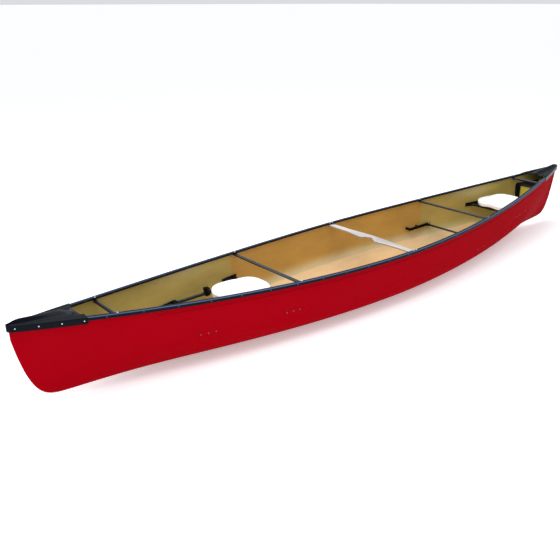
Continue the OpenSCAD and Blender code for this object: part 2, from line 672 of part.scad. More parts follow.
// The stern seat's two tubes sit in sockets on one long plate each side.
stern_front_x = stern_seat_x - seat_tube_gap / 2;
stern_rear_x = stern_seat_x + seat_tube_gap / 2;
stern_plate = [stern_front_x - 66, stern_rear_x + 26];
function stern_tube_half(x) = side_min(x + seat_tube_r, stern_tube_z, plate_h) - 9;
module stern_seat_pan() color("white") translate([-stern_seat_x, 0, stern_rim_z]) seat_pan();
module stern_seat_posts() color("dimgray") translate([-stern_seat_x, 0, 0])
    seat_posts(stern_tube_z, stern_rim_z);
module stern_seat_front_tube() color("darkslategray")
    cross_tube(-stern_front_x, stern_tube_z, 2 * stern_tube_half(stern_front_x));
module stern_seat_rear_tube() color("darkslategray")
    cross_tube(-stern_rear_x, stern_tube_z, 2 * stern_tube_half(stern_rear_x));
module stern_seat_brackets() color("darkslategray") mirror([1, 0, 0]) both_sides() difference() {
    union() {
        wall_plate(stern_plate[0], stern_plate[1], stern_tube_z, plate_h, 4);
        tube_socket(stern_front_x, stern_tube_z, 26);
        tube_socket(stern_rear_x, stern_tube_z, 26);
    }
    for (x = [stern_front_x, stern_rear_x])
        translate([x, stern_tube_half(x) + grip, stern_tube_z]) rotate([90, 0, 0])
            cylinder(r = seat_tube_r + grip, h = 60, $fn = 48);
}
module stern_bracket_rivets() color("silver") mirror([1, 0, 0]) both_sides()
    for (x = [stern_plate[0] + 14, stern_front_x + 38, stern_rear_x - 34])
        side_rivet(x, stern_tube_z, 4);

// ---- foot brace ----------------------------------------------------------------

track_x = [foot_bar_x - track_l + 44, foot_bar_x + 44];   // distances aft of amidships
track_h = 24;
track_w = 16;
track_wall = 2.2;
track_lip = 5;
track_y = side_min(track_x[1], foot_bar_z, track_h) - wall_gap;   // outer face
// Channel open towards the middle of the boat, lips turned in.
function track_outline() = let (w = track_w, h = track_h / 2, t = track_wall, l = track_lip) [
    [0, -h], [0, h], [-w, h], [-w, h - l], [-w + t, h - l], [-w + t, h - t],
    [-t, h - t], [-t, -h + t], [-w + t, -h + t], [-w + t, -h + l], [-w, -h + l], [-w, -h]
];
module foot_track_port() color("darkslategray") mirror([0, 1, 0]) foot_track_at_starboard();
module foot_track_starboard() color("darkslategray") foot_track_at_starboard();
module foot_track_at_starboard() translate([-track_x[1], -track_y, foot_bar_z])
    rotate([90, 0, 90]) linear_extrude(height = track_l)
        polygon([for (p = track_outline()) [-p.x, p.y]]);

// Spacers fill the gap that opens between the straight track and the curved side.
spacer_x = [track_x[0] + 16, track_x[0] + track_l * 0.45];
module foot_track_spacers() color("dimgray") mirror([1, 0, 0]) both_sides() for (x = spacer_x)
    intersection() {
        wall_plate(x - 9, x + 9, foot_bar_z, track_h - 4, 90);
        translate([x - 9, track_y + grip, foot_bar_z - track_h]) cube([18, 90, 2 * track_h]);
    }
module foot_track_rivets() color("silver") mirror([1, 0, 0]) both_sides()
    for (x = [spacer_x[0], spacer_x[1], track_x[1] - 14])
        translate([x, 0, foot_bar_z]) rotate([-90, 0, 0])
            domed_fastener(rivet_r, 4.6, 1.6, track_y - track_wall - 0.1, width_at(x, foot_bar_z, 0) + 0.1);

// Blocks run in the tracks and hold the bar's ends; screws clamp them.
block_l = 40;
block_h = track_h - 2 * track_lip - 2 * fit;
bar_end = track_y - track_w - 1;
module foot_block() translate([-foot_bar_x, 0, foot_bar_z]) difference() {
    union() {
        translate([-block_l / 2, track_y - track_w + track_wall + fit, -track_h / 2 + track_wall + fit])
            cube([block_l, track_w - 2 * track_wall - 2 * fit - 2.2, track_h - 2 * track_wall - 2 * fit]);
        translate([-block_l / 2, track_y - track_w - 24, -block_h / 2])
            cube([block_l, 30, block_h]);
        translate([0, track_y - track_w - 24, 0]) rotate([-90, 0, 0])
            cylinder(r = foot_bar_r + 4, h = 22, $fn = 48);
    }
    translate([0, bar_end + grip, 0]) rotate([90, 0, 0]) cylinder(r = foot_bar_r + grip, h = 60, $fn = 48);
}
module foot_bar_blocks() color("dimgray") both_sides() foot_block();
module foot_bar() color("darkslategray") translate([-foot_bar_x, 0, foot_bar_z])
    along_y(2 * bar_end) tube(foot_bar_r, tube_wall, 2 * bar_end);
module foot_bar_screws() color("silver") both_sides()
    translate([-foot_bar_x, track_y - track_w - 13, foot_bar_z + foot_bar_r + 1]) {
        cylinder(r = 2.5, h = 16, $fn = 20);
        translate([0, 0, 10]) cylinder(r = 7, h = 9, $fn = 24);
    }

// ---- flotation -----------------------------------------------------------------

tank_corner = 34;
tank_gap = 2.4;              // from the liner to the tank
tank_end = half_l - 170;
tank_steps = 5;
tank_across = 6;
// The tank's wall in side view: up the bow-facing wall, round the corner and aft.
function tank_path(off) =
    let (r = tank_corner - off, x = tank_x + off, z = tank_z - off,
         foot = keel_in(x, shell_t + tank_gap))
    concat(
        [for (i = [0 : 5]) [x, foot + (z - r - foot) * i / 5]],
        [for (i = [1 : tank_steps]) let (a = 90 * i / tank_steps) [x + r * (1 - cos(a)), z - r * (1 - sin(a))]],
        [for (i = [1 : 4]) [x + r + (tank_end - x - r) * i / 4, z]]
    );
function tank_row(p) =
    let (w = max(3, width_at(p.x, max(p.y, keel_in(p.x, shell_t) + 4), shell_t + tank_gap)))
    [for (j = [-tank_across : tank_across]) [-p.x, w * j / tank_across, p.y]];
module stern_tank() color("black")
    plate([for (p = tank_path(0)) tank_row(p)], [for (p = tank_path(tank_t)) tank_row(p)]);

label = [150, 150];
module tank_label() color("khaki")
    translate([-tank_x + grip, -label.x / 2, tank_z - tank_corner - label.y + 12])
        rotate([90, 0, 90]) linear_extrude(height = 1) offset(r = 6) offset(delta = -6) square(label);

// Cap of the drain plug on the tank's top, a little to one side.
plug_at = [-tank_x - 130, -16];
module tank_plug() color("crimson") translate([plug_at.x, plug_at.y, tank_z + 0.1]) {
    cylinder(r = plug_r, h = 6, $fn = 40);
    translate([0, 0, 5]) cylinder(r = plug_r * 0.55, h = 5, $fn = 32);
}

// A bulkhead closes the bow flotation chamber under the deck.
bulkhead_x = half_l - 300;
module bow_bulkhead() color("darkkhaki") {
    z0 = keel_in(bulkhead_x + 4, shell_t + 3);
    z1 = sheer(bulkhead_x) + in_bottom - 4;
    steps = 10;
    zs = [for (i = [0 : steps]) z0 + (z1 - z0) * i / steps];
    side = [for (z = zs) [max(0.5, width_at(bulkhead_x + 4, z, shell_t + 1.2)), z]];
    translate([bulkhead_x, 0, 0]) rotate([90, 0, 90]) linear_extrude(height = 4)
        polygon(concat(side, [for (p = backwards(side)) [-p.x, p.y]]));
}

hull_skin();
hull_liner();
floor_panel();
outwale_port();
outwale_starboard();
inwale_port();
inwale_starboard();
gunwale_rivets_port();
gunwale_rivets_starboard();
bow_deck();
stern_deck();
deck_rivets();
bow_handle();
stern_handle();
front_thwart();
rear_thwart();
yoke();
thwart_bolts();
yoke_bolts();
bow_seat_pan();
bow_seat_posts();
bow_seat_front_tube();
bow_seat_rear_tube();
bow_seat_saddles();
slide_rail_port();
slide_rail_starboard();
rail_front_brackets();
rail_rear_tube();
rail_tees();
rail_rear_brackets();
bow_bracket_rivets();
stern_seat_pan();
stern_seat_posts();
stern_seat_front_tube();
stern_seat_rear_tube();
stern_seat_brackets();
stern_bracket_rivets();
foot_track_port();
foot_track_starboard();
foot_track_spacers();
foot_track_rivets();
foot_bar();
foot_bar_blocks();
foot_bar_screws();
stern_tank();
tank_label();
tank_plug();
bow_bulkhead();
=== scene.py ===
"""Surfaces, finishes and a studio for a long touring canoe."""

from math import pi, radians

import bpy
import bmesh
import numpy as np
from bpy.props import FloatProperty, FloatVectorProperty, PointerProperty
from bpy.types import Operator, Panel, PropertyGroup
from mathutils import Euler, Matrix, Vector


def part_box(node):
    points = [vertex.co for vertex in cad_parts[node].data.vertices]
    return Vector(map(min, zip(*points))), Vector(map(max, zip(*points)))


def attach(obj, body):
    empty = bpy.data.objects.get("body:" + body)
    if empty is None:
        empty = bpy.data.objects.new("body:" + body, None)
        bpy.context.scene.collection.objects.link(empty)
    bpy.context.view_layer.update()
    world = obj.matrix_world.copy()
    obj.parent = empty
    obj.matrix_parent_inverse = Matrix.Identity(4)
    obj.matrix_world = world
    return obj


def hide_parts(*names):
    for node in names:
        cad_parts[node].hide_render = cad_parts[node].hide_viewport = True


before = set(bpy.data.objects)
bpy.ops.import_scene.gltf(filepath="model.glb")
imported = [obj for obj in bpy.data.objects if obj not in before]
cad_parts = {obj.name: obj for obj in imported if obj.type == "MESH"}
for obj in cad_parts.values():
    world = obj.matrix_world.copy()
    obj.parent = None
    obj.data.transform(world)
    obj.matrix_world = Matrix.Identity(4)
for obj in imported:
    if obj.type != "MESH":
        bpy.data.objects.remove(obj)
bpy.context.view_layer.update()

bl_info = {
    "name": "Touring Canoe",
    "version": (1, 0, 0),
    "blender": (4, 5, 0),
    "location": "View3D > Sidebar > Canoe",
    "description": "Builds the surfaces, finishes and studio of a touring canoe",
    "category": "Object",
}

MM = 0.001
HAIR = 0.02 * MM    # keeps two touching surfaces out of one plane
ALONG = 100         # stations of the hull from amidships to the end of its hollow
AROUND = 44         # steps of a section from the sheer to the keel


def linear(code):
    """An sRGB hex colour as linear red, green, blue and alpha."""
    c = np.array([int(code[i:i + 2], 16) for i in (1, 3, 5)]) / 255
    c = np.where(c <= 0.04045, c / 12.92, ((c + 0.055) / 1.055) ** 2.4)
    return (*map(float, c), 1.0)


def length(label, text, value, low=0.0, high=10.0):
    """A length that a user can change, in metres."""
    return FloatProperty(name=label, description=text, default=value, min=low, max=high,
                         subtype="DISTANCE", unit="LENGTH", precision=4)


def paint(label, text, code):
    """A colour that a user can change."""
    return FloatVectorProperty(name=label, description=text, default=linear(code), size=4,
                               min=0, max=1, subtype="COLOR")


BOW_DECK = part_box("bow_deck")
STERN_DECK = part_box("stern_deck")
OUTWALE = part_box("outwale_port")


class CanoeSizes(PropertyGroup):
    """Sizes of the lines and mouldings."""
    half_length: length("Half length", "From amidships to a deck tip", BOW_DECK[1].x)
    half_beam: length("Half beam", "Half width over the gunwales", OUTWALE[1].y)
    tip: length("Tip", "Half width over the gunwales at the tips", 0.016)
    lip: length("Lip", "Height of the rails above the hull's edge", 0.003)
    outwale_w: length("Outer rail width", "Width of the outer rail", 0.014)
    outwale_h: length("Outer rail height", "Height of the outer rail", 0.022)
    inwale_w: length("Inner rail width", "Width of the inner rail", 0.017)
    inwale_h: length("Inner rail height", "Height of the inner rail", 0.014)
    sheer_rise: length("Sheer rise", "Rise of the sheer line to the tips", 0.145)
    rocker: length("Rocker", "Rise of the keel line to the ends", 0.083)
    forefoot: length("Forefoot", "Length of the rounded forefoot", 0.366)
    skin: length("Skin", "Thickness of the outer laminate", 0.0026)
    liner: length("Liner", "Thickness of the inner laminate", 0.0012)
    stem: length("Stem", "Length of the solid stem", 0.150)
    floor_t: length("Floor", "Thickness of the floor panel", 0.006)
    deck_wall: length("Deck wall", "Wall of the deck mouldings", 0.0025)
    skirt: length("Skirt", "Depth of a deck's skirt", 0.042)
    crown: length("Crown", "Height of a deck's crown", 0.027)
    nose: length("Nose", "Radius of a deck's nose", 0.026)
    plan_power: FloatProperty(name="Plan power", description="Fullness of the plan shape",
                              default=1.8, min=1.2, max=3)

    @property
    def depth(self):
        """Height of the sheer line amidships."""
        return OUTWALE[0].z - self.lip + self.outwale_h


class CanoeColours(PropertyGroup):
    """Colours of the finishes."""
    hull: paint("Hull", "Pigmented gelcoat", "#98000E")
    inside: paint("Inside", "Aramid laminate amidships", "#B89044")
    inside_end: paint("Inside ends", "Aramid laminate towards the ends", "#B09C56")
    floor: paint("Floor", "Laminate over the foam core", "#DEB077")
    rail: paint("Rails", "Anodised rails", "#10141C")
    deck: paint("Decks", "Moulded deck plastic", "#070B13")
    moulding: paint("Mouldings", "Black moulded plastic", "#06080B")
    seat: paint("Seats", "White polyethylene", "#EDEDEC")
    wood: paint("Yoke", "Varnished ash", "#B4ACA6")
    label: paint("Label", "Printed film", "#C8B43C")
    plug: paint("Plug", "Red polyethylene", "#D8203C")


class CanoeStage(PropertyGroup):
    """The studio."""
    key: FloatProperty(name="Key light", description="Power of the large overhead panel",
                       default=340, min=0, max=5000, unit="POWER")
    fill: FloatProperty(name="Fill light", description="Power of the front panel",
                        default=30, min=0, max=5000, unit="POWER")
    focal: FloatProperty(name="Lens", description="Focal length", default=42.81,
                         min=10, max=200, unit="CAMERA")
    ground: paint("Ground", "Studio floor", "#F6F6F6")


# ---- lines of the hull -----------------------------------------------------------

def along(s, x):
    """Distance from amidships as a share of the half length, at most 1."""
    return np.minimum(1, np.abs(x) / s.half_length)


def wale_half(s, x):
    """Half width over the gunwales: the tip's, and the rest times 1 minus the share's power."""
    return s.tip + (s.half_beam - s.tip) * (1 - along(s, x) ** s.plan_power)


def sheer(s, x):
    """Sheer height: the depth amidships and a rise with the share squared."""
    return s.depth + s.sheer_rise * along(s, x) ** 2


def keel(s, x):
    """Keel height: rocker with the share cubed, then a steep power up the stem."""
    base = s.rocker * along(s, x) ** 3
    reach = (np.abs(x) - s.half_length + s.forefoot) / (s.forefoot + 0.004)
    return base + (sheer(s, x) + 0.010 - base) * np.clip(reach, 0, 1) ** 5.07


def keel_in(s, x, inset):
    """Keel height of the surface that lies inset inside the hull, measured square to it."""
    slope = (keel(s, np.abs(x) + 0.0005) - keel(s, np.abs(x) - 0.0005)) / 0.001
    return keel(s, x) + inset * np.sqrt(1 + slope ** 2)


def half_in(s, x, inset):
    """Half width at the sheer of the surface that lies inset inside the hull."""
    return np.maximum(0.0006, wale_half(s, x) - s.outwale_w - inset)


def section_angle(s, x, v):
    """Section angle from 0 at the keel to a right angle at the sheer, for v from 0 to 1."""
    return pi / 2 * (1 - (1 - v ** 1.3) ** (3.2 - 1.9 * along(s, x) ** 2))


def exponents(s, x):
    """The two powers of a section's superellipse: boxy amidships and a fine V at the ends."""
    t2 = along(s, x) ** 2
    return 1.9 - 0.8 * t2, np.maximum(0.6, 7.2 - 7.1 * t2)


def keel_cos(s, x):
    """Cosine of the angle where the flat strip along the keel ends."""
    return 1 - (1 - np.cos(section_angle(s, x, 1 / 12))) * (1 - along(s, x) ** 2)


def section(s, x, v, inset):
    """Half width and height at v: a superellipse between the sheer and the keel."""
    a = section_angle(s, x, v)
    n, m = exponents(s, x)
    drop = np.minimum(1, np.cos(a).clip(0) / keel_cos(s, x)) ** (2 / m)
    top = sheer(s, x)
    return half_in(s, x, inset) * np.sin(a) ** (2 / n), top - (top - keel_in(s, x, inset)) * drop


def width_at(s, x, z, inset):
    """Half width of that surface at height z, the section's formula turned round."""
    n, m = exponents(s, x)
    u = ((sheer(s, x) - z) / (sheer(s, x) - keel_in(s, x, inset))).clip(0, 1)
    c = u ** (m / 2) * keel_cos(s, x)
    return half_in(s, x, inset) * (1 - c ** 2).clip(0) ** (1 / n)


def hull_rows(s, xs, steps, inset):
    """Rows of points from the port sheer round the keel to the starboard sheer."""
    v = np.abs(np.linspace(1, -1, 2 * steps + 1))
    side = np.sign(np.linspace(1, -1, 2 * steps + 1))
    x = np.broadcast_to(xs[:, None], (len(xs), len(v)))
    y, z = section(s, x, v[None, :], inset)
    return np.stack([x, side * y, z], -1)


def crowded(end, count, power=1.25):
    """Stations from -end to end that crowd towards both ends."""
    i = np.linspace(-1, 1, 2 * count + 1)
    return end * np.sign(i) * (1 - (1 - np.abs(i)) ** power)


# ---- meshes ------------------------------------------------------------------------

def sheet(nu, nv, start=0, wrap_u=False, wrap_v=False):
    """Quads of a grid of nu rows of nv points whose first point has the index start."""
    i = np.arange(nu if wrap_u else nu - 1)
    j = np.arange(nv if wrap_v else nv - 1)
    i, j = np.meshgrid(i, j, indexing="ij")
    k, m = (i + 1) % nu, (j + 1) % nv
    return np.stack([i * nv + j, k * nv + j, k * nv + m, i * nv + m], -1).reshape(-1, 4) + start


def between(a, b):
    """Quads between two lines of point indices of the same length."""
    return np.stack([a[:-1], a[1:], b[1:], b[:-1]], -1)


def folded(line):
    """Quads that close a line of an odd number of points by joining its two halves."""
    h = len(line) // 2
    return between(line[:h + 1], line[::-1][:h + 1])


def build(name, points, faces, finish, body="hull", replaces=(), uv=None,
          values=None, angle=32):
    """A closed mesh piece from points and quads, with its finish, riding on a body."""
    mesh = bpy.data.meshes.new(name)
    mesh.from_pydata(points.reshape(-1, 3).tolist(), [], np.concatenate(faces).tolist())
    if uv is not None:
        mesh.uv_layers.new(name="UVMap")
        index = np.zeros(len(mesh.loops), np.int32)
        mesh.loops.foreach_get("vertex_index", index)
        flat = uv.reshape(-1, 2)[index].astype(np.float32).ravel()
        mesh.uv_layers["UVMap"].data.foreach_set("uv", flat)
    for key, value in (values or {}).items():
        mesh.attributes.new(key, "FLOAT", "POINT").data.foreach_set(
            "value", value.astype(np.float32).ravel())
    work = bmesh.new()
    work.from_mesh(mesh)
    bmesh.ops.remove_doubles(work, verts=work.verts, dist=2e-6)
    bmesh.ops.dissolve_degenerate(work, edges=work.edges, dist=1e-7)
    bmesh.ops.recalc_face_normals(work, faces=work.faces)
    work.to_mesh(mesh)
    work.free()
    mesh.polygons.foreach_set("use_smooth", np.ones(len(mesh.polygons), bool))
    mesh.set_sharp_from_angle(angle=radians(angle))
    piece = bpy.data.objects.new(name, mesh)
    bpy.context.scene.collection.objects.link(piece)
    mesh.materials.append(finish)
    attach(piece, body)
    if replaces:
        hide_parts(*replaces)
    return piece


def tub(outer, inner, extra):
    """Points and quads of a closed tub: outer has extra rows at each end beyond inner's."""
    no, nv, _ = outer.shape
    ni = len(inner)
    o = no * nv
    out = np.arange(o).reshape(no, nv)
    inn = np.arange(ni * nv).reshape(ni, nv) + o
    mid = out[extra:no - extra]
    faces = [
        sheet(no, nv), sheet(ni, nv, o),
        folded(out[0]), folded(out[-1]), folded(inn[0]), folded(inn[-1]),
        between(mid[:, 0], inn[:, 0]), between(mid[:, -1], inn[:, -1]),
        np.array([[mid[0, 0], mid[0, -1], inn[0, -1], inn[0, 0]],
                  [mid[-1, 0], mid[-1, -1], inn[-1, -1], inn[-1, 0]]]),
    ]
    if extra:
        faces += [between(out[:extra + 1, 0], out[:extra + 1, -1]),
                  between(out[no - 1 - extra:, 0], out[no - 1 - extra:, -1])]
    return np.concatenate([outer.reshape(-1, 3), inner.reshape(-1, 3)]), faces


def slab(upper, lower):
    """Points and quads of a closed plate between two grids of the same size."""
    nu, nv, _ = upper.shape
    up = np.arange(nu * nv).reshape(nu, nv)
    low = up + nu * nv
    faces = [sheet(nu, nv), sheet(nu, nv, nu * nv),
             between(up[0], low[0]), between(up[-1], low[-1]),
             between(up[:, 0], low[:, 0]), between(up[:, -1], low[:, -1])]
    return np.concatenate([upper.reshape(-1, 3), lower.reshape(-1, 3)]), faces


def rod(rings):
    """Points and quads of a bar of closed rings with an even number of points, ends closed."""
    nu, nv, _ = rings.shape
    index = np.arange(nu * nv).reshape(nu, nv)
    h = nv // 2
    ends = [between(row[:h], row[::-1][:h]) for row in (index[0], index[-1])]
    return rings.reshape(-1, 3), [sheet(nu, nv, wrap_v=True), *ends]


def girth(points):
    """Texture coordinates in metres: x, and the distance along each row."""
    step = np.linalg.norm(np.diff(points, axis=1), axis=2)
    run = np.concatenate([np.zeros((len(points), 1)), np.cumsum(step, axis=1)], 1)
    run -= run[:, [points.shape[1] // 2]]
    return np.stack([points[..., 0], run], -1)


def rounded(corners, radii, steps=5):
    """A closed outline whose corners are quadratic curves cut back by their radii."""
    c = np.array(corners, float)
    r = np.array(radii, float)[:, None]
    ahead, behind = np.roll(c, -1, 0) - c, np.roll(c, 1, 0) - c
    a = c + behind / np.linalg.norm(behind, axis=1, keepdims=True) * r
    b = c + ahead / np.linalg.norm(ahead, axis=1, keepdims=True) * r
    t = np.linspace(0, 1, steps + 1)[None, :, None]
    curve = (1 - t) ** 2 * a[:, None] + 2 * t * (1 - t) * c[:, None] + t ** 2 * b[:, None]
    return curve.reshape(-1, 2)


def smooth(v):
    """A step that starts and ends level, from 0 to 1."""
    c = np.clip(v, 0, 1)
    return c * c * (3 - 2 * c)


def bump(v):
    """A cosine-squared hill, 1 at 0 and 0 from 1 on."""
    return np.where(v >= 1, 0, np.cos(pi / 2 * np.clip(v, 0, 1)) ** 2)


# ---- finishes ----------------------------------------------------------------------

def add(tree, kind, inputs=None, **settings):
    """Adds a node with its settings, and sets or links its inputs."""
    item = tree.nodes.new(kind)
    for key, value in settings.items():
        setattr(item, key, value)
    for socket, value in (inputs or {}).items():
        if isinstance(value, bpy.types.NodeSocket):
            tree.links.new(value, item.inputs[socket])
        else:
            item.inputs[socket].default_value = value
    return item


def finish(name, colour, rough, metallic=0.0, coat=0.0, coat_rough=0.05, ior=1.5,
           subsurface=0.0, specular=0.5):
    """A material with one shader: returns it, its tree and the shader."""
    material = bpy.data.materials.new(name)
    material.use_nodes = True
    tree = material.node_tree
    shader = tree.nodes["Principled BSDF"]
    constants = {"Base Color": colour, "Roughness": rough, "Metallic": metallic,
                 "Coat Weight": coat, "Coat Roughness": coat_rough, "IOR": ior,
                 "Subsurface Weight": subsurface, "Subsurface Scale": 0.004,
                 "Specular IOR Level": specular}
    for key, value in constants.items():
        shader.inputs[key].default_value = value
    return material, tree, shader


def speckle(tree, shader, colour, spread, size, rough, rough_spread, grain, depth, where=None):
    """Soft patches of colour and gloss of a size, and a grain of a depth: returns the colour."""
    place = where or add(tree, "ShaderNodeTexCoord").outputs["Object"]
    patch = add(tree, "ShaderNodeTexNoise", {"Vector": place, "Scale": 1 / size, "Detail": 3.0})
    fine = add(tree, "ShaderNodeTexNoise", {"Vector": place, "Scale": 1 / grain, "Detail": 2.0})
    dark = [c * (1 - spread) for c in colour[:3]] + [1]
    light = [min(1, c * (1 + spread)) for c in colour[:3]] + [1]
    blend = add(tree, "ShaderNodeMix", {0: patch.outputs["Fac"], 6: dark, 7: light},
                data_type="RGBA")
    gloss = add(tree, "ShaderNodeMapRange", {"Value": patch.outputs["Fac"],
                                             "To Min": rough - rough_spread,
                                             "To Max": rough + rough_spread})
    relief = add(tree, "ShaderNodeBump", {"Height": fine.outputs["Fac"], "Strength": 1.0,
                                          "Distance": depth})
    tree.links.new(blend.outputs[2], shader.inputs["Base Color"])
    tree.links.new(gloss.outputs["Result"], shader.inputs["Roughness"])
    tree.links.new(relief.outputs["Normal"], shader.inputs["Normal"])
    return blend.outputs[2]


def make_gelcoat(colour):
    """Pigmented polyester gelcoat, sprayed in a polished mould."""
    # Deep even colour with only a thin soft gloss, which the cloth behind it makes waver.
    material, tree, shader = finish("Polished gelcoat", colour, 0.3, coat=0.03, coat_rough=0.08,
                                    specular=0.0)
    place = add(tree, "ShaderNodeTexCoord")
    red = speckle(tree, shader, colour, 0.07, 0.9, 0.28, 0.04, 160 * MM, 0.25 * MM,
                  place.outputs["Object"])
    # A dark trim line about 4 mm wide runs below the gunwale and stops short of the decks.
    drop = add(tree, "ShaderNodeAttribute", attribute_name="drop")
    away = add(tree, "ShaderNodeMath", {0: drop.outputs["Fac"], 1: 52 * MM},
               operation="SUBTRACT")
    off = add(tree, "ShaderNodeMath", {0: away.outputs[0]}, operation="ABSOLUTE")
    line = add(tree, "ShaderNodeMapRange", {"Value": off.outputs[0], "From Min": 1.2 * MM,
                                            "From Max": 2.4 * MM, "To Min": 1.0, "To Max": 0.0})
    split = add(tree, "ShaderNodeSeparateXYZ", {"Vector": place.outputs["Object"]})
    reach = add(tree, "ShaderNodeMath", {0: split.outputs["X"]}, operation="ABSOLUTE")
    ends = add(tree, "ShaderNodeMapRange", {"Value": reach.outputs[0], "From Min": 2.2,
                                            "From Max": 2.21, "To Min": 0.75, "To Max": 0.0})
    mask = add(tree, "ShaderNodeMath", {0: line.outputs[0], 1: ends.outputs[0]},
               operation="MULTIPLY")
    trim = add(tree, "ShaderNodeMix", {0: mask.outputs[0], 6: red, 7: linear("#2A0206")},
               data_type="RGBA")
    tree.links.new(trim.outputs[2], shader.inputs["Base Color"])
    return material


def cloth_height(tree, place, pitch):
    """A plain weave from -1 to 1: the product of two crossed sines of one pitch."""
    turns = 2 * pi / pitch
    split = add(tree, "ShaderNodeSeparateXYZ", {"Vector": place})
    waves = []
    for axis in ("X", "Y"):
        scaled = add(tree, "ShaderNodeMath", {0: split.outputs[axis], 1: turns},
                     operation="MULTIPLY")
        waves.append(add(tree, "ShaderNodeMath", {0: scaled.outputs[0]}, operation="SINE"))
    return add(tree, "ShaderNodeMath", {0: waves[0].outputs[0], 1: waves[1].outputs[0]},
               operation="MULTIPLY")


def make_laminate(name, colour, end_colour, rough, coat, limit, glare):
    """Aramid cloth wet out in clear resin, laid by hand."""
    # Golden cloth under resin: thread pattern, streaks along the boat, a lap line, and a pale
    # band in the turn of the bilge, a painted highlight for the glare that lamps leave on the
    # glossy laminate.
    material, tree, shader = finish(name, colour, rough, coat=coat, coat_rough=0.22)
    place = add(tree, "ShaderNodeTexCoord")
    stretched = add(tree, "ShaderNodeMapping", {"Vector": place.outputs["Object"],
                                                "Scale": (0.35, 1.0, 1.0)})
    streak = add(tree, "ShaderNodeTexNoise", {"Vector": stretched.outputs[0], "Scale": 6.0,
                                              "Detail": 5.0, "Roughness": 0.6})
    split = add(tree, "ShaderNodeSeparateXYZ", {"Vector": place.outputs["Object"]})
    reach = add(tree, "ShaderNodeMath", {0: split.outputs["X"]}, operation="ABSOLUTE")
    # The reinforcing layer amidships ends on a clear line just outside each thwart.
    outside = add(tree, "ShaderNodeMapRange", {"Value": reach.outputs[0], "From Min": limit,
                                               "From Max": limit + 0.03})
    tone = add(tree, "ShaderNodeMix", {0: outside.outputs[0], 6: colour, 7: end_colour},
               data_type="RGBA")
    # Painted highlight: a pale band low in the bilge, in place of the lamps' glare on the glossy
    # resin.
    rising = add(tree, "ShaderNodeMapRange", {"Value": split.outputs["Z"], "From Min": 0.022,
                                              "From Max": 0.06, "To Max": glare},
                 interpolation_type="SMOOTHSTEP")
    fading = add(tree, "ShaderNodeMapRange", {"Value": split.outputs["Z"], "From Min": 0.07,
                                              "From Max": 0.19, "To Min": 1, "To Max": 0},
                 interpolation_type="SMOOTHSTEP")
    glare_band = add(tree, "ShaderNodeMath", {0: rising.outputs[0], 1: fading.outputs[0]},
               operation="MULTIPLY")
    with_painted_glare = add(tree, "ShaderNodeMix", {0: glare_band.outputs[0], 6: tone.outputs[2],
                                         7: linear("#CDC6A2")}, data_type="RGBA")
    vary = add(tree, "ShaderNodeMapRange", {"Value": streak.outputs["Fac"], "From Min": 0.3,
                                            "From Max": 0.7, "To Min": 0.86, "To Max": 1.12})
    # The threads are drawn 5 mm apart, coarser than real cloth, so that they can be seen.
    weave = cloth_height(tree, place.outputs["UV"], 5 * MM)
    thread = add(tree, "ShaderNodeMath", {0: weave.outputs[0], 1: 0.035, 2: 1.0},
                 operation="MULTIPLY_ADD")
    shade = add(tree, "ShaderNodeMath", {0: vary.outputs[0], 1: thread.outputs[0]},
                operation="MULTIPLY")
    tinted = add(tree, "ShaderNodeVectorMath", {0: with_painted_glare.outputs[2], "Scale": shade.outputs[0]},
                 operation="SCALE")
    gloss = add(tree, "ShaderNodeMapRange", {"Value": streak.outputs["Fac"],
                                             "To Min": rough - 0.06, "To Max": rough + 0.1})
    relief = add(tree, "ShaderNodeBump", {"Height": weave.outputs[0], "Strength": 0.6,
                                          "Distance": 0.15 * MM})
    tree.links.new(tinted.outputs[0], shader.inputs["Base Color"])
    tree.links.new(gloss.outputs[0], shader.inputs["Roughness"])
    tree.links.new(relief.outputs[0], shader.inputs["Normal"])
    return material


def make_rail(colour):
    """Black anodised aluminium extrusion."""
    # Near-black oxide with faint die lines; the top is painted a cool blue grey, a painted
    # reflection of the sky on the glossy rail.
    material, tree, shader = finish("Black anodised aluminium", colour, 0.3, metallic=0.05,
                                    coat=0.02, coat_rough=0.2, specular=0.03)
    place = add(tree, "ShaderNodeTexCoord")
    drawn = add(tree, "ShaderNodeMapping", {"Vector": place.outputs["Object"],
                                            "Scale": (0.02, 1.0, 1.0)})
    oxide = speckle(tree, shader, colour, 0.12, 0.25, 0.32, 0.06, 0.8 * MM, 0.02 * MM,
                    drawn.outputs[0])
    # Painted reflection: the upper share of the rail's height turns blue grey, standing in for
    # the sky seen in its top.
    rise = add(tree, "ShaderNodeAttribute", attribute_name="rise")
    painted_sheen_mask = add(tree, "ShaderNodeMapRange", {"Value": rise.outputs["Fac"], "From Min": 0.84,
                                              "From Max": 0.99})
    with_painted_sheen = add(tree, "ShaderNodeMix", {0: painted_sheen_mask.outputs[0], 6: oxide,
                                       7: linear("#3E4F70")}, data_type="RGBA")
    tree.links.new(with_painted_sheen.outputs[2], shader.inputs["Base Color"])
    return material


def make_tube(colour):
    """Black anodised round tube."""
    # The same dark oxide a little glossier, with die lines along the tube.
    material, tree, shader = finish("Black anodised tube", colour, 0.3, metallic=0.2,
                                    coat=0.15, coat_rough=0.15, specular=0.4)
    place = add(tree, "ShaderNodeTexCoord")
    drawn = add(tree, "ShaderNodeMapping", {"Vector": place.outputs["Object"],
                                            "Scale": (1.0, 0.02, 1.0)})
    speckle(tree, shader, colour, 0.12, 0.2, 0.3, 0.05, 0.8 * MM, 0.02 * MM, drawn.outputs[0])
    return material


def make_moulding(name, colour, rough, grain=1.6, depth=0.05, coat=0.02, specular=0.1):
    """Injection or rotational moulding in one coloured plastic."""
    # A satin skin with the fine grain of the mould.
    material, tree, shader = finish(name, colour, rough, coat=coat, coat_rough=0.2, ior=1.46,
                                    specular=specular)
    speckle(tree, shader, colour, 0.15, 0.12, rough, 0.05, grain * MM, depth * MM)
    return material


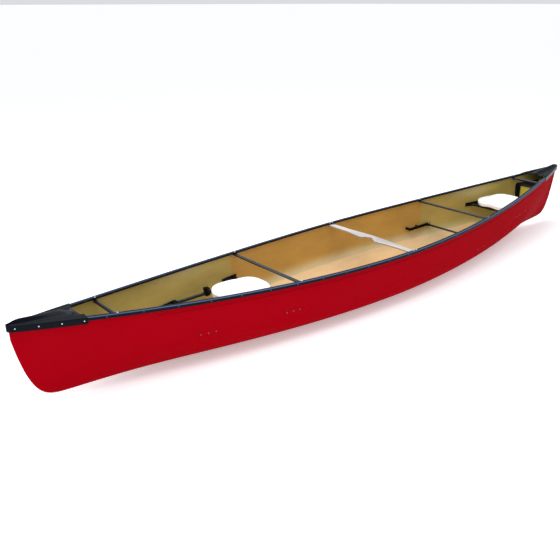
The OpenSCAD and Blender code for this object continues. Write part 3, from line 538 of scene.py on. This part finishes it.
def make_seat(colour):
    """White rotomoulded polyethylene."""
    # Bright and slightly waxy, with soft gloss and a fine moulded grain.
    material, tree, shader = finish("Rotomoulded polyethylene", colour, 0.38, coat=0.1,
                                    coat_rough=0.3, subsurface=0.08)
    speckle(tree, shader, colour, 0.012, 0.1, 0.38, 0.05, 1.8 * MM, 0.04 * MM)
    return material


def make_ash(colour):
    """Ash plank, spokeshaved, sanded and varnished."""
    # Pale growth rings 4 mm apart with long pores under gloss varnish; greyer towards the
    # middle, painted shade that leaves the ends pale as if they caught highlights.
    material, tree, shader = finish("Varnished ash", colour, 0.25, coat=0.8, coat_rough=0.06)
    place = add(tree, "ShaderNodeTexCoord")
    plank = add(tree, "ShaderNodeMapping", {"Vector": place.outputs["Object"],
                                            "Scale": (1.0, 0.06, 1.0)})
    wander = add(tree, "ShaderNodeTexNoise", {"Vector": plank.outputs[0], "Scale": 14.0,
                                              "Detail": 3.0})
    bent = add(tree, "ShaderNodeVectorMath", {0: wander.outputs["Color"], "Scale": 0.035},
               operation="SCALE")
    moved = add(tree, "ShaderNodeVectorMath", {0: plank.outputs[0], 1: bent.outputs[0]},
                operation="ADD")
    rings = add(tree, "ShaderNodeTexWave", {"Vector": moved.outputs[0],
                                            "Scale": 2 * pi / 20 / (4 * MM), "Detail": 2.0,
                                            "Distortion": 1.2}, bands_direction="X")
    pores = add(tree, "ShaderNodeTexNoise", {"Vector": plank.outputs[0],
                                             "Scale": 1 / (0.7 * MM), "Detail": 1.0})
    late = add(tree, "ShaderNodeMix", {0: rings.outputs["Fac"], 6: colour,
                                       7: linear("#A89A87")}, data_type="RGBA")
    pore = add(tree, "ShaderNodeMapRange", {"Value": pores.outputs["Fac"], "From Min": 0.55,
                                            "From Max": 0.75, "To Min": 0.0, "To Max": 0.35})
    split = add(tree, "ShaderNodeSeparateXYZ", {"Vector": place.outputs["Object"]})
    reach = add(tree, "ShaderNodeMath", {0: split.outputs["Y"]}, operation="ABSOLUTE")
    # Painted shade: the wood turns greyer towards the middle so that the ends look as bright as
    # their highlights.
    painted_mid_shade = add(tree, "ShaderNodeMapRange", {"Value": reach.outputs[0], "From Min": 0.14,
                                               "From Max": 0.3, "To Min": 0.6, "To Max": 0.0})
    with_painted_mid_shade = add(tree, "ShaderNodeMix", {0: painted_mid_shade.outputs[0], 6: late.outputs[2],
                                         7: linear("#84787A")}, data_type="RGBA")
    wood = add(tree, "ShaderNodeMix", {0: pore.outputs[0], 6: with_painted_mid_shade.outputs[2],
                                       7: linear("#857664")}, data_type="RGBA")
    relief = add(tree, "ShaderNodeBump", {"Height": pores.outputs["Fac"], "Strength": 0.4,
                                          "Distance": 0.05 * MM})
    tree.links.new(wood.outputs[2], shader.inputs["Base Color"])
    tree.links.new(relief.outputs[0], shader.inputs["Normal"])
    return material


def make_steel():
    """Stainless steel, cold headed and tumbled."""
    # Bright and slightly uneven, so that small heads catch the light.
    colour = linear("#C6C7CC")
    material, tree, shader = finish("Stainless steel", colour, 0.28, metallic=1.0)
    speckle(tree, shader, colour, 0.08, 0.02, 0.28, 0.07, 1.0 * MM, 0.02 * MM)
    return material


def make_rivet():
    """Aluminium rivet painted black."""
    # Dull dark paint: the heads show only as small dots.
    colour = linear("#2E333C")
    material, tree, shader = finish("Painted rivet", colour, 0.35, metallic=0.3, coat=0.3,
                                    coat_rough=0.2)
    speckle(tree, shader, colour, 0.15, 0.02, 0.35, 0.05, 1.0 * MM, 0.02 * MM)
    return material


def make_label(colour, low, high):
    """Printed vinyl film, left blank inside a thin frame."""
    # Flat colour with a darker frame line 2 mm wide, 8 mm in from the edge.
    material, tree, shader = finish("Printed vinyl film", colour, 0.42, coat=0.2,
                                    coat_rough=0.2)
    place = add(tree, "ShaderNodeTexCoord")
    film = speckle(tree, shader, colour, 0.05, 0.05, 0.42, 0.05, 2.0 * MM, 0.02 * MM,
                   place.outputs["Object"])
    split = add(tree, "ShaderNodeSeparateXYZ", {"Vector": place.outputs["Object"]})
    edges = []
    for axis, a, b in (("Y", low.y, high.y), ("Z", low.z, high.z)):
        centred = add(tree, "ShaderNodeMath", {0: split.outputs[axis], 1: (a + b) / 2},
                      operation="SUBTRACT")
        size = add(tree, "ShaderNodeMath", {0: centred.outputs[0]}, operation="ABSOLUTE")
        edges.append(add(tree, "ShaderNodeMath", {0: (b - a) / 2, 1: size.outputs[0]},
                         operation="SUBTRACT"))
    inset = add(tree, "ShaderNodeMath", {0: edges[0].outputs[0], 1: edges[1].outputs[0]},
                operation="MINIMUM")
    away = add(tree, "ShaderNodeMath", {0: inset.outputs[0], 1: 9 * MM}, operation="SUBTRACT")
    off = add(tree, "ShaderNodeMath", {0: away.outputs[0]}, operation="ABSOLUTE")
    line = add(tree, "ShaderNodeMapRange", {"Value": off.outputs[0], "From Min": 1 * MM,
                                            "From Max": 1.6 * MM, "To Min": 0.8, "To Max": 0.0})
    framed = add(tree, "ShaderNodeMix", {0: line.outputs[0], 6: film, 7: linear("#4A4012")},
                 data_type="RGBA")
    tree.links.new(framed.outputs[2], shader.inputs["Base Color"])
    return material


FINISHES = {}


def finishes():
    """All the finishes by a short name, made once."""
    c = bpy.context.scene.canoe_colours
    if not FINISHES:
        low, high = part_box("tank_label")
        FINISHES.update(
            gelcoat=make_gelcoat(tuple(c.hull)),
            # The last number of each laminate is the strength of its painted glare band.
            inside=make_laminate("Aramid laminate", tuple(c.inside), tuple(c.inside_end),
                                 0.36, 0.3, 1.17, 0.6),
            floor=make_laminate("Laminate over core", tuple(c.floor), tuple(c.floor),
                                0.3, 0.35, 3.0, 0.25),
            rail=make_rail(tuple(c.rail)),
            tube=make_tube(tuple(c.rail)),
            deck=make_moulding("Moulded deck plastic", tuple(c.deck), 0.2, coat=0.04,
                               specular=0.05),
            moulding=make_moulding("Moulded nylon", tuple(c.moulding), 0.45, grain=1.0),
            tank=make_moulding("Rotomoulded black tank", tuple(c.moulding), 0.5, grain=2.5,
                               depth=0.12),
            seat=make_seat(tuple(c.seat)),
            ash=make_ash(tuple(c.wood)),
            steel=make_steel(),
            rivet=make_rivet(),
            label=make_label(tuple(c.label), low, high),
            plug=make_moulding("Red moulded polyethylene", tuple(c.plug), 0.4, grain=1.0),
        )
    return FINISHES


def dress(key, *names):
    """Gives CAD nodes one of the finishes."""
    for name in names:
        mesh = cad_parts[name].data
        mesh.materials.clear()
        mesh.materials.append(finishes()[key])


# ---- pieces --------------------------------------------------------------------------

class CANOE_OT_hull(Operator):
    """Outer hull: section curves swept from stem to stem, closed over the solid stems"""
    bl_idname = "canoe.hull"
    bl_label = "Hull"

    def execute(self, context):
        s = context.scene.canoe_sizes
        end = s.half_length - s.stem
        body = crowded(end, ALONG)
        stem = end + (s.half_length - 0.012 - end) * (1 - (1 - np.linspace(0, 1, 17)[1:]) ** 1.3)
        outer = hull_rows(s, np.concatenate([-stem[::-1], body, stem]), AROUND, 0)
        inner = hull_rows(s, body, AROUND, s.skin)
        points, faces = tub(outer, inner, len(stem))
        drop = sheer(s, points[:, 0]) - points[:, 2]
        uv = np.concatenate([girth(outer).reshape(-1, 2), girth(inner).reshape(-1, 2)])
        build("hull_shell", points, faces, finishes()["gelcoat"], replaces=["hull_skin"],
              uv=uv, values={"drop": drop})
        return {"FINISHED"}


class CANOE_OT_inside(Operator):
    """Liner inside the hull, the floor panel on it and the bulkhead at the bow"""
    bl_idname = "canoe.inside"
    bl_label = "Inside"

    def execute(self, context):
        s = context.scene.canoe_sizes
        end = s.half_length - s.stem
        both = s.skin + s.liner
        outer = hull_rows(s, crowded(end, ALONG), AROUND, s.skin)
        inner = hull_rows(s, crowded(end - s.liner, ALONG), AROUND, both)
        points, faces = tub(outer, inner, 0)
        uv = np.concatenate([girth(outer).reshape(-1, 2), girth(inner).reshape(-1, 2)])
        build("hull_inside", points, faces, finishes()["inside"], replaces=["hull_liner"],
              uv=uv)
        # The panel's top is the liner raised by its thickness, ramped down at every edge.
        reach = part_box("floor_panel")[1].x
        spread = 5 / 12
        xs = crowded(reach, 60, 1.1)
        v = np.linspace(1, -1, 97)
        side_ramp = smooth((1 - np.abs(v)) / 0.1)
        end_ramp = smooth((reach - np.abs(xs)) / 0.06)
        edge = end_ramp[:, None] * side_ramp
        x = np.broadcast_to(xs[:, None], edge.shape)
        y, z = section(s, x, np.abs(v) * spread, both)
        base = np.stack([x, np.sign(v) * y, z], -1)
        top = base + np.stack([0 * edge, 0 * edge, 0.0002 + s.floor_t * edge], -1)
        points, faces = slab(top, base + [0, 0, 0.0001])
        uv = np.tile(girth(base).reshape(-1, 2), (2, 1))
        build("floor_pan", points, faces, finishes()["floor"], replaces=["floor_panel"],
              uv=uv)
        dress("inside", "bow_bulkhead")
        return {"FINISHED"}


class CANOE_OT_gunwales(Operator):
    """Inner and outer rails: one rounded outline each, carried along the sheer"""
    bl_idname = "canoe.gunwales"
    bl_label = "Gunwales"

    def execute(self, context):
        s = context.scene.canoe_sizes
        w, low, top = s.outwale_w, s.lip - s.outwale_h, s.lip
        outline = rounded([[0, low], [w, low], [w, top], [0, top]],
                          [0.0006, 0.004, 0.0048, 0.0012], 6)
        inner_w, inner_low = s.inwale_w, s.lip - s.inwale_h
        inner = rounded([[0, inner_low], [0, top], [-inner_w, top], [-inner_w, inner_low]],
                        [0.0005, 0.0012, 0.0042, 0.0026], 6)
        both = s.skin + s.liner
        for side, sign in (("port", 1), ("starboard", -1)):
            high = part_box("outwale_" + side)[1]
            xs = crowded(high.x, 120, 1.15)[:, None]
            y = wale_half(s, xs) - w + HAIR
            rings = np.stack([xs + 0 * outline[:, 0], sign * (y + outline[:, 0]),
                              sheer(s, xs) + outline[:, 1]], -1)
            points, faces = rod(rings)
            # Share of the rail's height; the rail finish uses it to place the painted reflection
            # on the top.
            rise = np.broadcast_to((outline[:, 1] - low) / s.outwale_h, rings.shape[:2])
            build("outer_rail_" + side, points, faces, finishes()["rail"],
                  replaces=["outwale_" + side], angle=40,
                  values={"rise": rise})
            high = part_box("inwale_" + side)[1]
            xs = crowded(high.x, 120, 1.15)[:, None]
            y = half_in(s, xs, both) - HAIR
            lean = y - width_at(s, xs, sheer(s, xs) + inner_low, both)
            depth = (top - inner[:, 1]) / s.inwale_h
            back = lean * (inner[:, 0] > -0.002) * depth
            rings = np.stack([xs + 0 * inner[:, 0], sign * (y + inner[:, 0] - back),
                              sheer(s, xs) + inner[:, 1]], -1)
            points, faces = rod(rings)
            build("inner_rail_" + side, points, faces, finishes()["rail"],
                  replaces=["inwale_" + side], angle=40)
        dress("rivet", "gunwale_rivets_port", "gunwale_rivets_starboard")
        return {"FINISHED"}


def deck_rows(s, reach, off, end, arch, count=72):
    """Cross-sections of a deck from its rear edge to its nose.

    Half of a section climbs the skirt, turns a rounded edge and crosses to the middle over
    a low flange and a crown, which keeps a share, arch, of its height at the rear edge.
    """
    skirt = np.linspace(0, 1, 5)
    turn = np.linspace(0, 1, 9)[1:]
    over = np.linspace(1, 0, 49)[1:]
    kind = np.concatenate([0 * skirt, 0 * turn + 1, 0 * over + 2])
    p = np.concatenate([skirt, turn, over])
    across = np.where(kind == 2, p, 1.0)
    rear = s.half_length - reach + 0.018 * (1 - across ** 2)
    g = (1 - (1 - np.linspace(0, 1, count)) ** 1.25)[:, None]
    x = rear + (end - rear) * g
    share = (x - s.half_length + reach) / reach
    over_rail = 0.3 * MM + s.deck_wall
    b = wale_half(s, x) + over_rail
    d = np.maximum(0, x - s.half_length + s.nose) / s.nose
    b = np.maximum(0.005, b * np.sqrt(np.maximum(0.02, 1 - d * d))) - off
    level = sheer(s, x) + s.lip + over_rail
    z = level - off
    foot = level - s.skirt
    er = np.minimum(0.005 - off * 0.8, b * 0.45)
    flange = bump(np.abs(across - 0.78) / 0.24) * 0.5 * (1 - 0.85 * smooth(share / 0.95))
    crown = (arch + (1 - arch) * smooth(share / 0.3)) * bump(across / 0.55)
    crown = crown * (1 - smooth((share - 0.82) / 0.2) * 0.75)
    y = np.where(kind == 0, b, np.where(kind == 1, b - er * (1 - np.cos(pi / 2 * p)),
                                        p * (b - er)))
    height = np.where(kind == 0, foot + (z - er - foot) * p,
                      np.where(kind == 1, z - er * (1 - np.sin(pi / 2 * p)),
                               z + s.crown * (crown + flange) * (kind == 2)))
    half = np.stack([x, y, height], -1)
    mirrored = half[:, -2::-1] * [1, -1, 1]
    return np.concatenate([half, mirrored], 1)


class CANOE_OT_decks(Operator):
    """Deck mouldings at both ends: a crowned cap with flanges and a skirt"""
    bl_idname = "canoe.decks"
    bl_label = "Decks"

    def execute(self, context):
        s = context.scene.canoe_sizes
        for name, node, low, sign, arch in (
                ("bow_cap", "bow_deck", BOW_DECK[0].x, 1, 0.0),
                ("stern_cap", "stern_deck", -STERN_DECK[1].x, -1, 0.6)):
            reach = s.half_length - low
            outer = deck_rows(s, reach, 0, s.half_length, arch)
            inner = deck_rows(s, reach, s.deck_wall, s.half_length - 0.004, arch)
            nu, nv, _ = outer.shape
            out = np.arange(nu * nv).reshape(nu, nv)
            inn = out + nu * nv
            faces = [sheet(nu, nv), sheet(nu, nv, nu * nv),
                     between(out[0], inn[0]), between(out[:, 0], inn[:, 0]),
                     between(out[:, -1], inn[:, -1]), folded(out[-1]), folded(inn[-1]),
                     np.array([[out[-1, 0], out[-1, -1], inn[-1, -1], inn[-1, 0]]])]
            points = np.concatenate([outer.reshape(-1, 3), inner.reshape(-1, 3)])
            points[:, 2] = np.minimum(points[:, 2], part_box(node)[1].z)
            build(name, points * [sign, 1, 1], faces, finishes()["deck"], replaces=[node],
                  angle=50)
        dress("steel", "deck_rivets")
        return {"FINISHED"}


class CANOE_OT_bars(Operator):
    """Yoke, and the finishes of the thwarts, handles and their bolts"""
    bl_idname = "canoe.bars"
    bl_label = "Thwarts and yoke"

    def execute(self, context):
        low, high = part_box("yoke")
        y = np.linspace(low.y, high.y, 161)[:, None]
        middle, thick = (low.z + high.z) / 2, high.z - low.z
        # Edges swell towards the shoulders, and a cosine hill takes the neck out of one edge.
        half_width, widening, neck_depth, neck_half = 0.031, 0.021, 0.046, 0.092
        swell = widening * np.exp(-(y / 0.2025) ** 4)
        front = half_width + swell - neck_depth * bump(np.abs(y) / neck_half)
        rear = -half_width - swell
        a = np.linspace(0, 2 * pi, 48, endpoint=False)[None, :]
        px = np.sign(np.cos(a)) * np.abs(np.cos(a)) ** 0.35
        pz = np.sign(np.sin(a)) * np.abs(np.sin(a)) ** 0.6
        x = (front + rear) / 2 + (front - rear) / 2 * px
        pad = 1 - 0.16 * np.exp(-((np.abs(y) - 0.12) / 0.07) ** 2) * (pz > 0)
        rings = np.stack([x, y + 0 * x, middle + thick / 2 * pz * pad], -1)
        points, faces = rod(rings)
        build("neck_yoke", points, faces, finishes()["ash"], replaces=["yoke"],
              angle=60)
        dress("tube", "bow_handle", "stern_handle", "front_thwart", "rear_thwart")
        dress("steel", "thwart_bolts", "yoke_bolts")
        return {"FINISHED"}


def pan_outline(a, inset, pan):
    """Plan outline: a superellipse, blunter in front, that narrows towards the back."""
    c, n = np.cos(a), np.sin(a)
    x = np.sign(c) * np.abs(c) ** np.where(c > 0, 0.74, 0.86)
    y = np.sign(n) * np.abs(n) ** 0.8
    return np.stack([(pan[0] / 2 - inset) * x, (pan[1] / 2 - inset) * y * (1 - 0.07 * (1 - x))],
                    -1)


def pan_height(xy, r, pan):
    """Height over the rim: a dish, a raised back and two thigh hollows in front."""
    back = smooth((-2 * xy[..., 0] / pan[0] - 0.35) / 0.65) * 0.020 * r
    front = smooth((2 * xy[..., 0] / pan[0] - 0.2) / 0.8)
    thigh = bump(np.abs(np.abs(xy[..., 1]) - 0.098) / 0.092) * 0.011
    return -0.016 * (1 - r * r) + back - front * thigh


class CANOE_OT_seats(Operator):
    """Seat pans: rings from the drain hole over the lip and back underneath"""
    bl_idname = "canoe.seats"
    bl_label = "Seats"

    def execute(self, context):
        a = -np.linspace(0, 2 * pi, 144, endpoint=False)
        pan = (0.396, 0.436)
        wall, skirt, lip = 0.004, 0.034, 0.007
        hole = np.stack([0.015 * np.cos(a), 0.007 * np.sin(a)], -1)
        for name, node, body in (("bow_seat_shell", "bow_seat_pan", "bow_seat"),
                                 ("stern_seat_shell", "stern_seat_pan", "hull")):
            low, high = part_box(node)
            rim = pan_outline(a, 0, pan)
            level = low.z + skirt - pan_height(rim, 1, pan).min()

            def ring(r, inset, drop):
                """One ring at share r of the outline, blended out of the drain hole."""
                xy = pan_outline(a, inset, pan) * r
                xy = hole + (xy - hole) * smooth(r / 0.22) if r < 0.22 else xy
                shape = pan_outline(a, 0, pan) * r
                return np.column_stack([xy, pan_height(shape, r, pan) - drop])

            steps = np.concatenate([[0.001, 0.03], np.linspace(0.06, 0.94, 19), [0.98]])
            rings = [ring(r, lip, 0) for r in steps]
            turn = np.linspace(0, pi / 2, 7)
            rings += [ring(1, lip * (1 - np.sin(t)), lip * (1 - np.cos(t))) for t in turn]
            rings += [ring(1, 0, d) for d in np.linspace(lip, skirt - 0.001, 4)[1:]]
            rings += [ring(1, 0.001, skirt), ring(1, wall - 0.001, skirt),
                      ring(1, wall, skirt - 0.001), ring(1, wall, lip + 0.001),
                      ring(1, lip + 0.001, wall)]
            rings += [ring(r, lip + 0.001, wall) for r in steps[::-1]]
            rings = np.stack(rings) + [(low.x + high.x) / 2, 0, level]
            nu, nv, _ = rings.shape
            build(name, rings, [sheet(nu, nv, wrap_u=True, wrap_v=True)], finishes()["seat"],
                  body, replaces=[node], angle=60)
        dress("tube", "bow_seat_front_tube", "bow_seat_rear_tube", "slide_rail_port",
              "slide_rail_starboard", "rail_rear_tube", "stern_seat_front_tube",
              "stern_seat_rear_tube")
        dress("moulding", "bow_seat_posts", "bow_seat_saddles", "stern_seat_posts", "rail_tees")
        dress("rail", "rail_front_brackets", "rail_rear_brackets", "stern_seat_brackets")
        dress("rivet", "bow_bracket_rivets", "stern_bracket_rivets")
        return {"FINISHED"}


class CANOE_OT_foot_brace(Operator):
    """Finishes of the foot brace"""
    bl_idname = "canoe.foot_brace"
    bl_label = "Foot brace"

    def execute(self, context):
        dress("rail", "foot_track_port", "foot_track_starboard")
        dress("tube", "foot_bar")
        dress("moulding", "foot_track_spacers", "foot_bar_blocks")
        dress("rivet", "foot_track_rivets")
        dress("steel", "foot_bar_screws")
        return {"FINISHED"}


class CANOE_OT_tank(Operator):
    """Stern tank: a wall that rounds over into a top, cut to the hull on both sides"""
    bl_idname = "canoe.tank"
    bl_label = "Tank"

    def execute(self, context):
        s = context.scene.canoe_sizes
        low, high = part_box("stern_tank")
        front, top, end = -high.x, high.z, -low.x
        liner_in = s.skin + s.liner
        tank_in = liner_in + 2.4 * MM

        def path(off):
            """Side view from the foot of the wall, round the corner and aft along the top."""
            r = 0.034 - off
            x, z = front + off, top - off
            foot = keel_in(s, np.array([x]), tank_in)[0]
            up = np.linspace(foot, z - r, 24)[:-1]
            turn = np.linspace(0, pi / 2, 13)
            aft = np.linspace(x + r, end, 20)[1:]
            return np.concatenate([
                np.stack([0 * up + x, up], -1),
                np.stack([x + r * (1 - np.cos(turn)), z - r * (1 - np.sin(turn))], -1),
                np.stack([aft, 0 * aft + z], -1)])

        def rows(off):
            """The path spread sideways as far as the liner leaves room."""
            line = path(off)
            x, z = line[:, :1], line[:, 1:]
            clear = np.maximum(z, keel_in(s, x, liner_in) + 4 * MM)
            w = np.maximum(3 * MM, width_at(s, x, clear, tank_in))
            v = np.linspace(-1, 1, 41)[None, :]
            return np.stack([-x + 0 * v, w * v, z + 0 * v], -1)

        points, faces = slab(rows(0), rows(3.5 * MM))
        build("tank_wall", points, faces, finishes()["tank"], replaces=["stern_tank"],
              angle=50)
        dress("label", "tank_label")
        dress("plug", "tank_plug")
        return {"FINISHED"}


class CANOE_OT_stage(Operator):
    """Pale floor, soft panels of light and the camera"""
    bl_idname = "canoe.stage"
    bl_label = "Studio"

    def execute(self, context):
        scene, stage = context.scene, context.scene.canoe_stage
        ground, tree, shader = finish("Painted studio floor", tuple(stage.ground), 0.9,
                                      specular=0.2)
        speckle(tree, shader, tuple(stage.ground), 0.006, 1.5, 0.9, 0.02, 0.4, 0.0001)
        # The floor is a lit table, so its far side stays as pale as the near one.
        shader.inputs["Emission Color"].default_value = (1, 1, 1, 1)
        shader.inputs["Emission Strength"].default_value = 0.32
        side = np.linspace(-900, 900, 9)
        x, y = np.meshgrid(side, side, indexing="ij")
        mesh = bpy.data.meshes.new("ground")
        mesh.from_pydata(np.stack([x, y, 0 * x - 0.5 * MM], -1).reshape(-1, 3).tolist(), [],
                         sheet(9, 9).tolist())
        mesh.materials.append(ground)
        floor = bpy.data.objects.new("ground", mesh)
        scene.collection.objects.link(floor)
        for name, at, aim, size, power, tint in (
                ("overhead", (0.5, -0.6, 4.6), (0, 0, 0.3), (9.0, 3.2), stage.key,
                 (0.93, 0.96, 1.0)),
                ("front", (6.5, 4.5, 2.6), (0.5, 0, 0.3), (4.0, 3.0), stage.fill,
                 (1.0, 0.98, 0.95)),
                ("back", (-3.0, -6.0, 3.2), (0, 0, 0.3), (6.0, 2.0), stage.fill * 0.7,
                 (0.82, 0.9, 1.0))):
            data = bpy.data.lights.new(name, "AREA")
            data.shape, data.size, data.size_y = "RECTANGLE", *size
            data.energy, data.color = power, tint
            lamp = bpy.data.objects.new(name, data)
            away = np.subtract(at, aim)
            lamp.matrix_world = (Matrix.Translation(at) @ Euler((
                np.arctan2(np.hypot(away[0], away[1]), away[2]), 0,
                np.arctan2(away[1], away[0]) + pi / 2)).to_matrix().to_4x4())
            scene.collection.objects.link(lamp)
        world = bpy.data.worlds.new("Studio")
        world.use_nodes = True
        world.node_tree.nodes["Background"].inputs["Color"].default_value = (0.94, 0.97, 1, 1)
        world.node_tree.nodes["Background"].inputs["Strength"].default_value = 0.75
        scene.world = world
        # The camera looks down on the whole boat from ahead and to port.
        data = bpy.data.cameras.new("camera")
        data.lens, data.sensor_width = stage.focal, 36
        data.shift_x, data.shift_y = 0.0045, 0.0043
        data.clip_end = 3000
        camera = bpy.data.objects.new("camera", data)
        turn = Euler((radians(90 - 22.80), 0, radians(139.29))).to_matrix().to_4x4()
        camera.matrix_world = (Matrix.Translation((4.073, 3.526, 2.261)) @ turn
                               @ Matrix.Rotation(radians(-0.08), 4, "Z"))
        scene.collection.objects.link(camera)
        scene.camera = camera
        scene.view_settings.view_transform = "Standard"
        return {"FINISHED"}


PIECES = (CANOE_OT_hull, CANOE_OT_inside, CANOE_OT_gunwales, CANOE_OT_decks, CANOE_OT_bars,
          CANOE_OT_seats, CANOE_OT_foot_brace, CANOE_OT_tank, CANOE_OT_stage)


class CANOE_PT_panel(Panel):
    """The canoe's pieces and settings"""
    bl_label = "Canoe"
    bl_space_type = "VIEW_3D"
    bl_region_type = "UI"
    bl_category = "Canoe"

    def draw(self, context):
        for settings in ("canoe_sizes", "canoe_colours", "canoe_stage"):
            group = getattr(context.scene, settings)
            box = self.layout.box()
            for key in group.__annotations__:
                box.prop(group, key)
        for piece in PIECES:
            self.layout.operator(piece.bl_idname)


CLASSES = (CanoeSizes, CanoeColours, CanoeStage, *PIECES, CANOE_PT_panel)


def register():
    """Registers the classes and the settings on the scene."""
    for item in CLASSES:
        bpy.utils.register_class(item)
    bpy.types.Scene.canoe_sizes = PointerProperty(type=CanoeSizes)
    bpy.types.Scene.canoe_colours = PointerProperty(type=CanoeColours)
    bpy.types.Scene.canoe_stage = PointerProperty(type=CanoeStage)


def unregister():
    """Undoes register."""
    del bpy.types.Scene.canoe_sizes, bpy.types.Scene.canoe_colours, bpy.types.Scene.canoe_stage
    for item in reversed(CLASSES):
        bpy.utils.unregister_class(item)


def main():
    """Builds everything."""
    register()
    for piece in PIECES:
        group, name = piece.bl_idname.split(".")
        getattr(getattr(bpy.ops, group), name)()


if __name__ == "__main__":
    main()
